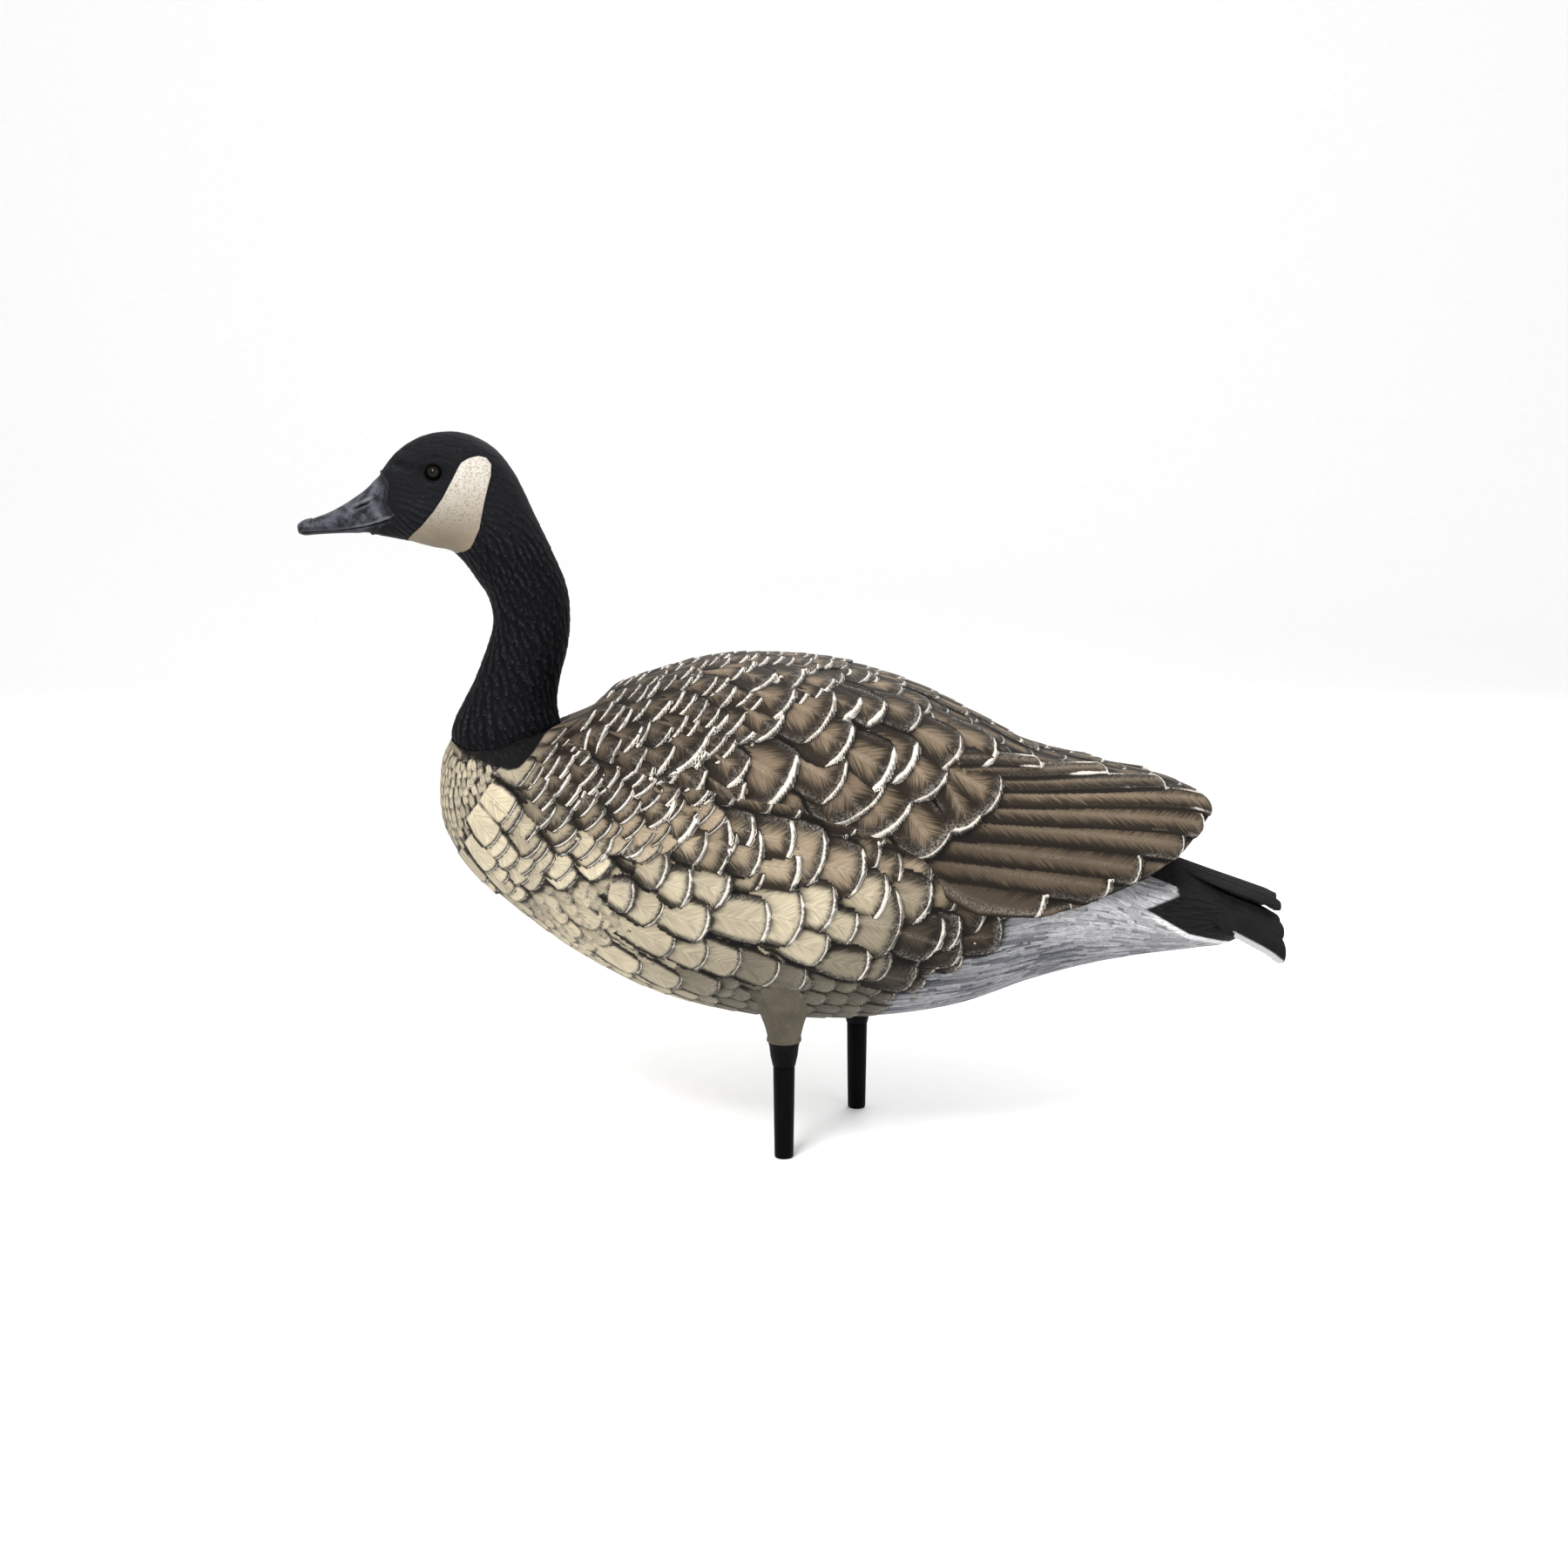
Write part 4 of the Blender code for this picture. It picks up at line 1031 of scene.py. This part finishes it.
def build_neck():
    """Neck, head and bill in two halves, with short feathers on the black and a raised, smooth cheek."""
    points, first = neck_grid(*NECK_GRID)
    skin = Skin(points)
    skin.face_out((-0.235, 0, 0.42))
    last = skin.rows - 4
    x, y, z = skin.base[..., 0], np.abs(skin.base[..., 1]), skin.base[..., 2]
    skin.paint[:] = BLACK
    ex, _, ez = EYE_AT

    def ticks(p, i, j):
        if np.interp(p[2], *BILL_LINE) - p[0] > -0.006 or math.dist((p[0], p[2]), (ex, ez)) < 0.014:
            return None
        head = float(smooth(0.46, 0.5, p[2]))
        way = np.array([0.42 + 0.6 * head, 0.0, -1.0 + 0.75 * head]) + rng.normal(0, 0.1, 3)
        size = 0.0054 - 0.0016 * head

        def lay(at):
            lift = 0.001 - 0.0007 * head
            skin.feather(at, way, size * 2.6, size * 0.5, lift, varied(BLACK, 0.6), white=0.0, dark=0.0,
                         blunt=1.9, crown=0.6, edge=0.0012)

        return size, lay

    rows_of_feathers(skin, first + 4, last - 60, 0.0062, ticks, 0.25)
    bill = np.interp(z, *BILL_LINE) - x
    cheek = inside_distance(x, z, CHEEK)
    skin.height *= 1 - smooth(-0.001, 0.002, cheek)
    skin.height *= 0.35 + 0.65 * smooth(0.296, 0.322, z)
    skin.height += 0.0004 * smooth(-0.0008, 0.0008, cheek) + head_relief(x, y, z, bill)
    skin.height[:first] = 0
    skin.finish(skin.height)

    # painted shade: a dark ring round the eye and a wider darkening over the brow and eye, with no highlight
    # there
    side = smooth(0.004, 0.01, y)
    away = np.hypot(x - ex, (z - ez) * 1.12)
    gloom = bell(x - ex, 0.017) * bell(z - ez - 0.003, 0.0095)
    skin.painted_shade = np.maximum(skin.painted_shade, np.maximum(smooth(0.0105, 0.007, away), 0.9 * gloom) * side)
    skin.brush *= 1 - 0.8 * gloom * side
    skin.tip, skin.dark = cheek * 1000, bill  # head_paint reads these in place of a feather's tip and fringe
    pieces = halves(skin, "neck_skin", head_paint())
    for piece in pieces:
        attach(piece, "neck")
    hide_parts("neck_head")


def head_paint():
    """Black flocked neck, a speckled cream cheek and a satin slate bill, with painted sheen on the crown,
    painted highlights on raised relief and painted shade in hollows.
    """
    n = Nodes("head_paint")
    along, across, _ = n.vectors("feather")
    cheek, bill, luck = n.vectors("marks")
    painted_shade, brush, _ = n.vectors("shade_highlight_height")
    place = n.place()
    _, _, height = n.split(place)
    fine = n.noise(n.join(n.times(along, 5.0), n.times(across, 26.0), n.times(luck, 31.0)),
                   1.0, 2.0, 0.6)
    blotch = n.noise(place, 45.0, 3.0, 0.6)
    grain = n.noise(place, 1500.0, 2.0, 0.6)
    speck = n.noise(place, 700.0, 3.0, 0.7)
    black = n.mix(n.times(fine, blotch), BLACK * 0.2, BLACK * 2.0)
    # painted sheen: the top of the head is lighter
    black = n.mix(n.times(n.step(height, 0.44, 0.5), 0.5), black, colour("1c1d20"))
    # painted highlight on the raised ticks
    black = n.mix(n.times(brush, n.step(speck, 0.4, 0.72)), black, colour("393b43"))
    # painted shade in the hollows and round the eye
    black = n.mix(n.times(painted_shade, 0.9), black, (0.0012, 0.0012, 0.0014))
    # painted shade: the cheek is darker towards its bottom
    cream = n.mix(n.step(height, 0.525, 0.462), colour("bfbab1"), colour("756b5d"))
    cream = n.mix(n.times(n.step(speck, 0.47, 0.64), 0.75), cream, colour("75674f"))
    cream = n.mix(n.times(n.step(blotch, 0.45, 0.75), 0.25), cream, colour("9c8d79"))
    ragged = n.add(cheek, n.scaled(speck, 0.9, -0.45))
    base = n.mix(n.step(ragged, -0.25, 0.25), black, cream)
    cloud = n.noise(place, 130.0, 3.0, 0.6)
    slate = n.mix(n.step(cloud, 0.3, 0.7), colour("1b1c20"), colour("4f5158"))
    # painted shade along the bill's lower edge
    slate = n.mix(n.times(n.step(height, 0.479, 0.4735), 0.75), slate, (0.004, 0.004, 0.0045))
    # painted highlight on the bill's raised relief
    slate = n.mix(n.times(brush, 0.5), slate, colour("7c7e84"))
    # painted shade in the bill's hollows
    slate = n.mix(n.times(painted_shade, 0.85), slate, (0.003, 0.003, 0.0035))
    on_bill = n.step(bill, -0.03, 0.03)
    base = n.mix(on_bill, base, slate)
    rough = n.scaled(on_bill, -0.2, n.scaled(blotch, 0.12, 0.56))
    normal = n.bump(fine, 0.35, 0.0005)
    normal = n.bump(grain, 0.1, 0.0003, normal)
    return n.finish(base, rough, normal, specular=0.06)


def build_eyes():
    """Two glossy dark balls, a little fuller in the middle."""
    n = Nodes("eye_gloss")
    off, _, up = n.split(n.place())
    radius = n.math("POWER", n.add(n.times(off, off), n.times(up, up)), 0.5)
    fleck = n.noise(n.place(), 900.0, 3.0, 0.6)
    iris = n.mix(fleck, (0.003, 0.0018, 0.0012), (0.0075, 0.0042, 0.0026))
    pupil = n.step(radius, 0.0026, 0.003)
    tint = n.mix(pupil, (0.0015, 0.0013, 0.0012), iris)
    gloss = n.finish(tint, n.scaled(fleck, 0.03, 0.09), n.bump(fleck, 0.02, 0.0002), specular=0.16)
    for side, way in (("left", -1), ("right", 1)):
        bm = bmesh.new()
        bmesh.ops.create_icosphere(bm, subdivisions=5, radius=EYE_R)
        for vert in bm.verts:
            ring = math.hypot(vert.co.x, vert.co.z) / EYE_R
            vert.co.y *= 0.92 + 0.1 * math.exp(-((ring / 0.55) ** 2))
        mesh = bpy.data.meshes.new(f"{side}_eye_ball")
        bm.to_mesh(mesh)
        bm.free()
        mesh.shade_smooth()
        mesh.materials.append(gloss)
        ball = link(f"{side}_eye_ball", mesh)
        ball.location = (EYE_AT[0], EYE_AT[1] * way, EYE_AT[2])
        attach(ball, "neck")
        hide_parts(f"{side}_eye")


# ---------------------------------------------------------------- tail
# along the tail: x, height in the middle, droop at the sides, half width
TAIL = [
    (0.244, 0.229, 0.012, 0.034), (0.27, 0.2225, 0.017, 0.044), (0.3, 0.2115, 0.023, 0.054),
    (0.33, 0.201, 0.027, 0.061), (0.348, 0.1945, 0.028, 0.062), (0.354, 0.1925, 0.027, 0.056),
]
TAIL_SIDE_FEATHERS = 6  # on each side of the middle one
TAIL_EDGE_FROM = 0.308  # x at which the outermost feathers' pale edges start


def tail_surface(x, y):
    """Height of the tail's upper face."""
    xs, middle, droop, half = np.array(TAIL).T
    share = np.clip(y / np.interp(x, xs, half), -1.05, 1.05)
    return np.interp(x, xs, middle) - np.interp(x, xs, droop) * share**2


def grid_faces(rows, cols, start, flip=False):
    faces = []
    for i in range(rows - 1):
        for j in range(cols - 1):
            k = start + i * cols + j
            quad = (k, k + 1, k + cols + 1, k + cols)
            faces.append(quad[::-1] if flip else quad)
    return faces


def slab(upper, lower, start):
    """Faces of a closed slab, for an upper and a lower grid stored one after the other."""
    rows, cols = upper.shape[:2]
    base = start + rows * cols
    faces = grid_faces(rows, cols, start, True) + grid_faces(rows, cols, base)
    rim = [(0, j) for j in range(cols)] + [(i, cols - 1) for i in range(1, rows)]
    rim += [(rows - 1, j) for j in range(cols - 2, -1, -1)] + [(i, 0) for i in range(rows - 2, 0, -1)]
    for (i0, j0), (i1, j1) in zip(rim, rim[1:] + rim[:1]):
        a, b = i0 * cols + j0, i1 * cols + j1
        faces.append((start + a, start + b, base + b, base + a))
    return np.concatenate([upper.reshape(-1, 3), lower.reshape(-1, 3)]), faces


def build_tail():
    """The fan: a root plate and thirteen overlapping feathers, with a pale outer edge on each side."""
    points, faces, marks, total = [], [], [], 0

    def add(upper, thick, mark):
        nonlocal total
        made, more = slab(upper, upper - np.array([0, 0, thick]), total)
        points.append(made)
        faces.extend(more)
        marks.append(np.concatenate([mark.reshape(-1, 3)] * 2))
        total += len(made)

    u, v = np.meshgrid(np.linspace(0, 1, 40), np.linspace(-1, 1, 41), indexing="ij")
    x = 0.2442 + (0.286 - 0.2442) * u
    y = v * np.interp(x, [t[0] for t in TAIL], [t[3] for t in TAIL]) * 0.93
    root = smooth(0.272, 0.262, x)
    plate = np.stack([x, y, tail_surface(x, y) - 0.001 - 0.005 * (1 - root)], -1)
    add(plate, 0.003, np.stack([u * 9, v * 3, np.ones_like(u)], -1))
    for k in sorted(range(-TAIL_SIDE_FEATHERS, TAIL_SIDE_FEATHERS + 1), key=abs, reverse=True):
        share = k / TAIL_SIDE_FEATHERS
        low = 1.0 if abs(k) >= 3 else 0.0
        start = (0.26, 0.033 * share)
        end = (0.354 - 0.005 * share**2 - 0.002 * (abs(k) % 2), 0.0545 * share)
        t, w = np.meshgrid(np.linspace(0, 1, 56), np.linspace(-1, 1, 19), indexing="ij")
        reach = 1 - 0.085 * (1 - (1 - 0.999 * np.abs(w) ** 2.4) ** (1 / 2.4))
        cx = start[0] + (end[0] - start[0]) * t * reach
        cy = start[1] + (end[1] - start[1]) * t
        half = 0.0072 + 0.0034 * smooth(0.0, 0.6, t)
        fx, fy = cx - w * half * (end[1] - start[1]) / 0.094 * 0.6, cy + w * half
        z = tail_surface(fx, fy) - 0.0005 * abs(k) - 0.008 * low * smooth(0.1, 0.6, t)
        barbs = 0.00022 * np.sin(t * 210 + np.abs(w) * 34) * smooth(0.1, 0.3, np.abs(w))
        z = z + 0.0013 * (1 - w**2) + 0.0007 * bell(w, 0.1) + barbs - 0.0012 * smooth(0.9, 1.0, t)
        outer = (abs(k) == TAIL_SIDE_FEATHERS) & (np.sign(w) == np.sign(k)) & (fx > TAIL_EDGE_FROM)
        edge = np.where(outer, 1 - np.abs(w), 1.0)
        add(np.stack([fx, fy, z], -1), 0.0015, np.stack([t * 9, w, edge], -1))
    n = Nodes("tail_black")
    along, across, edge = n.vectors("feather")
    lean = n.less(along, n.times(n.math("ABSOLUTE", across), 1.1))
    barb = n.noise(n.join(n.times(lean, 9.0), n.times(across, 1.2), 0.0), 1.0, 3.0, 0.6)
    blotch = n.noise(n.place(), 60.0, 3.0, 0.6)
    tint = n.mix(n.times(barb, blotch), (0.0016, 0.0015, 0.0016), (0.026, 0.025, 0.026))
    pale = n.less(1.0, n.step(edge, 0.1, 0.24))
    tint = n.mix(n.times(pale, 0.8), tint, GREY_WHITE)
    normal = n.bump(barb, 0.6, 0.0006)
    black = n.finish(tint, n.scaled(blotch, 0.15, 0.5), normal, specular=0.07)
    mesh = new_mesh("tail_feathers", np.concatenate(points), faces, black)
    mesh.set_sharp_from_angle(angle=math.radians(40))
    add_vectors(mesh, "feather", np.concatenate(marks))
    tail = link("tail_feathers", mesh)
    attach(tail, "body")
    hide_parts("tail_fan")


# ---------------------------------------------------------------- legs
def turned_piece(name, profile, at, material, steps=64, rough=None):
    """A piece turned about a vertical line from radii and heights. rough(angles, z) shifts the radius."""
    angles = 2 * math.pi * np.arange(steps) / steps
    rings = []
    for r, h in profile:
        radius = r + (rough(angles, h) if rough is not None and r > 0.001 else 0.0)
        x, y = at[0] + radius * np.cos(angles), at[1] + radius * np.sin(angles)
        rings.append(np.stack([x, y, np.full(steps, h)], -1))
    faces = []
    closed = profile[0][0] > 0.0005
    count = len(rings)
    for i in range(count if closed else count - 1):
        for k in range(steps):
            m = (k + 1) % steps
            a, b = i * steps, (i + 1) % count * steps
            faces.append((a + k, a + m, b + m, b + k))
    if not closed:
        faces.append(tuple(range(steps))[::-1])
        faces.append(tuple((count - 1) * steps + k for k in range(steps)))
    mesh = new_mesh(name, np.concatenate(rings), faces, material)
    mesh.set_sharp_from_angle(angle=math.radians(35))
    return link(name, mesh)


def curve_through(points, steps):
    """A profile with smooth stretches between given points."""
    u = np.linspace(0, len(points) - 1, (len(points) - 1) * steps + 1)
    return [tuple(row) for row in spline(points, u)]


def grey(level, more_blue=0.0):
    return (level, level, level + more_blue)


def moulded(name, dark, light, rough, scale=220.0, specular=0.12, metallic=0.0, streak=1.0):
    """Moulded plastic, rubber or coated metal: mottled colour, fine grain and uneven gloss."""
    n = Nodes(name)
    x, y, z = n.split(n.place())
    stretched = n.join(x, y, n.times(z, streak))
    cloud = n.noise(stretched, scale * 0.25, 4.0, 0.65)
    grain = n.noise(stretched, scale * 4, 2.0, 0.6)
    tint = n.mix(n.step(cloud, 0.3, 0.7), dark, light)
    tint = n.mix(n.times(n.step(grain, 0.58, 0.75), 0.35), tint, np.array(light) * 1.5)
    n.shader.inputs["Metallic"].default_value = metallic
    gloss = n.scaled(cloud, 0.2, rough - 0.1)
    return n.finish(tint, gloss, n.bump(grain, 0.15, 0.0003), specular=specular)


# profiles as radius and height
THIGH_FLARE = [(0.0345, 0.14), (0.025, 0.127), (0.0192, 0.116), (0.0155, 0.106), (0.0133, 0.0985)]
THIGH_LIP = [(0.0126, 0.0955), (0.013, 0.0945), (0.0132, 0.093), (0.0129, 0.0916), (0.012, 0.091)]
THIGH_BORE = [(0.0097, 0.091), (0.0094, 0.0914), (0.0094, 0.148), (0.033, 0.148)]
FERRULE = [
    (0.0059, 0.0722), (0.0081, 0.072), (0.0086, 0.0724), (0.0089, 0.0736), (0.0099, 0.0782),
    (0.0103, 0.0795), (0.0109, 0.0845), (0.0114, 0.0885), (0.0117, 0.0893), (0.0118, 0.0899),
    (0.0117, 0.0906), (0.0092, 0.0906), (0.009, 0.091), (0.009, 0.1186), (0.0088, 0.1188),
    (0.0072, 0.1188), (0.0072, 0.1212), (0.0088, 0.1212), (0.009, 0.1214), (0.009, 0.1438),
    (0.0081, 0.1455), (0.0059, 0.1455),
]
POST = [
    (0.00001, 0.0001), (0.0061, 0.0), (0.0066, 0.0002), (0.007, 0.0006), (0.0072, 0.0013), (0.0073, 0.0024),
    (0.0078, 0.036), (0.00825, 0.071), (0.008, 0.0716), (0.0056, 0.0717), (0.0055, 0.073),
    (0.0055, 0.129), (0.005, 0.1299), (0.00001, 0.13),
]


def uneven(angles, z):
    """Hand-made waviness of the thigh cones."""
    if z < 0.0911 or z > 0.139:
        return np.zeros_like(angles)
    broad = 0.00022 * np.sin(3 * angles + 90 * z) * min(1.0, (z - 0.091) / 0.01)
    return broad + 0.00012 * np.sin(9 * angles - 300 * z)


def build_legs():
    """On each side a thigh cone that stays on the body, and the ferrule and post that pull out of it."""
    taupe = moulded("thigh_paint", colour("443f36"), colour("5a5448"), 0.66, 160.0)
    plastic = moulded("ankle_plastic", grey(0.0012, 0.0001), grey(0.004, 0.0003), 0.5, specular=0.05)
    coated = moulded("post_coat", grey(0.0007), grey(0.002), 0.46, 300.0, 0.04, streak=0.15)
    for side, at in LEGS.items():
        profile = (curve_through(THIGH_FLARE, 8) + THIGH_LIP + THIGH_BORE)[::-1]
        thigh = turned_piece(f"{side}_thigh_cone", profile, at, taupe, rough=uneven)
        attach(thigh, "body")
        ankle = turned_piece(f"{side}_ankle", FERRULE, at, plastic)
        shaft = turned_piece(f"{side}_post", POST, at, coated)
        for piece, slot, part in ((ankle, "fittings", "ankle_ferrule"), (shaft, "posts", "leg_post")):
            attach(piece, f"{side}_leg")
            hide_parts(f"{side}_{part}")


def finish_cad_nodes():
    """Materials of the small pieces that keep their own shapes."""
    steel = moulded("plated_steel", grey(0.3, 0.01), grey(0.46, 0.01), 0.34, 400.0, 0.5, 1.0, 0.2)
    rubber = moulded("seal_rubber", grey(0.006), grey(0.014), 0.8, 260.0)
    plastic = moulded("plug_plastic", grey(0.01, 0.001), grey(0.022, 0.002), 0.48, 180.0)
    looks = (
        (plastic, ("neck_plug",)),
        (rubber, ("neck_oring", "neck_washer", "left_leg_oring", "right_leg_oring")),
        (steel, ("left_leg_pin", "right_leg_pin", "tail_screw_left", "tail_screw_right")),
    )
    for look, nodes in looks:
        for node in nodes:
            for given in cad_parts[node].material_slots:
                given.material = look


# ---------------------------------------------------------------- studio and camera
CAMERA_AT = (-0.03, -1.45, 0.5)
CAMERA_DOWN = 8.66  # degrees below level
LENS = 43.5
WORLD_LIGHT = 0.68
EXPOSURE = 0.45
AIMED_AT = (-0.03, 0, 0.3)
# name, place, size and watts
LAMPS = (
    ("key", (-0.9, -1.9, 2.6), 1.1, 60),
    ("fill", (1.8, -1.8, 1.3), 1.6, 12),
    ("back", (0.5, 1.9, 2.4), 1.6, 24),
)


def build_floor():
    """A pale sweep: level floor, a quarter round and a wall behind."""
    bends = [(math.pi / 2) * k / 24 for k in range(25)]
    curve = [(3.5 + 2.0 * math.sin(a), 2.0 - 2.0 * math.cos(a)) for a in bends]
    profile = [(-9.0, 0.0)] + curve + [(5.5, 9.0)]
    sweep = np.array([(x, y, z) for y, z in profile for x in (-12.0, 12.0)])
    n = Nodes("floor_paper")
    tint = n.mix(n.noise(n.place(), 60.0, 3.0), grey(0.9), grey(0.94))
    paper = n.finish(tint, 0.9, specular=0.05)
    link("floor", new_mesh("floor", sweep, grid_faces(len(profile), 2, 0, True), paper))


def light_up():
    world = bpy.data.worlds.new("studio")
    bpy.context.scene.world = world
    world.use_nodes = True
    background = world.node_tree.nodes["Background"]
    background.inputs["Color"].default_value = (1, 1, 1, 1)
    background.inputs["Strength"].default_value = WORLD_LIGHT
    for name, at, size, watts in LAMPS:
        light = bpy.data.lights.new(name, "AREA")
        light.size = size
        light.energy = watts
        lamp = link(name, light)
        lamp.location = at
        lamp.rotation_euler = (Vector(AIMED_AT) - Vector(at)).to_track_quat("-Z", "Y").to_euler()


def set_camera():
    data = bpy.data.cameras.new("camera")
    data.sensor_width = 36
    data.lens = LENS
    view = link("camera", data)
    view.location = CAMERA_AT
    view.rotation_euler = (math.radians(90 - CAMERA_DOWN), 0, 0)
    bpy.context.scene.camera = view
    bpy.context.scene.view_settings.view_transform = "Standard"
    bpy.context.scene.view_settings.exposure = EXPOSURE


# ---------------------------------------------------------------- run
body_pieces = build_body()
for piece in body_pieces:
    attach(piece, "body")
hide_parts("body_shell")
back_pieces = build_back()
for piece in back_pieces:
    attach(piece, "body")
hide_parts("back_shell")
build_neck()
build_eyes()
build_tail()
build_legs()
finish_cad_nodes()
build_floor()
light_up()
set_camera()
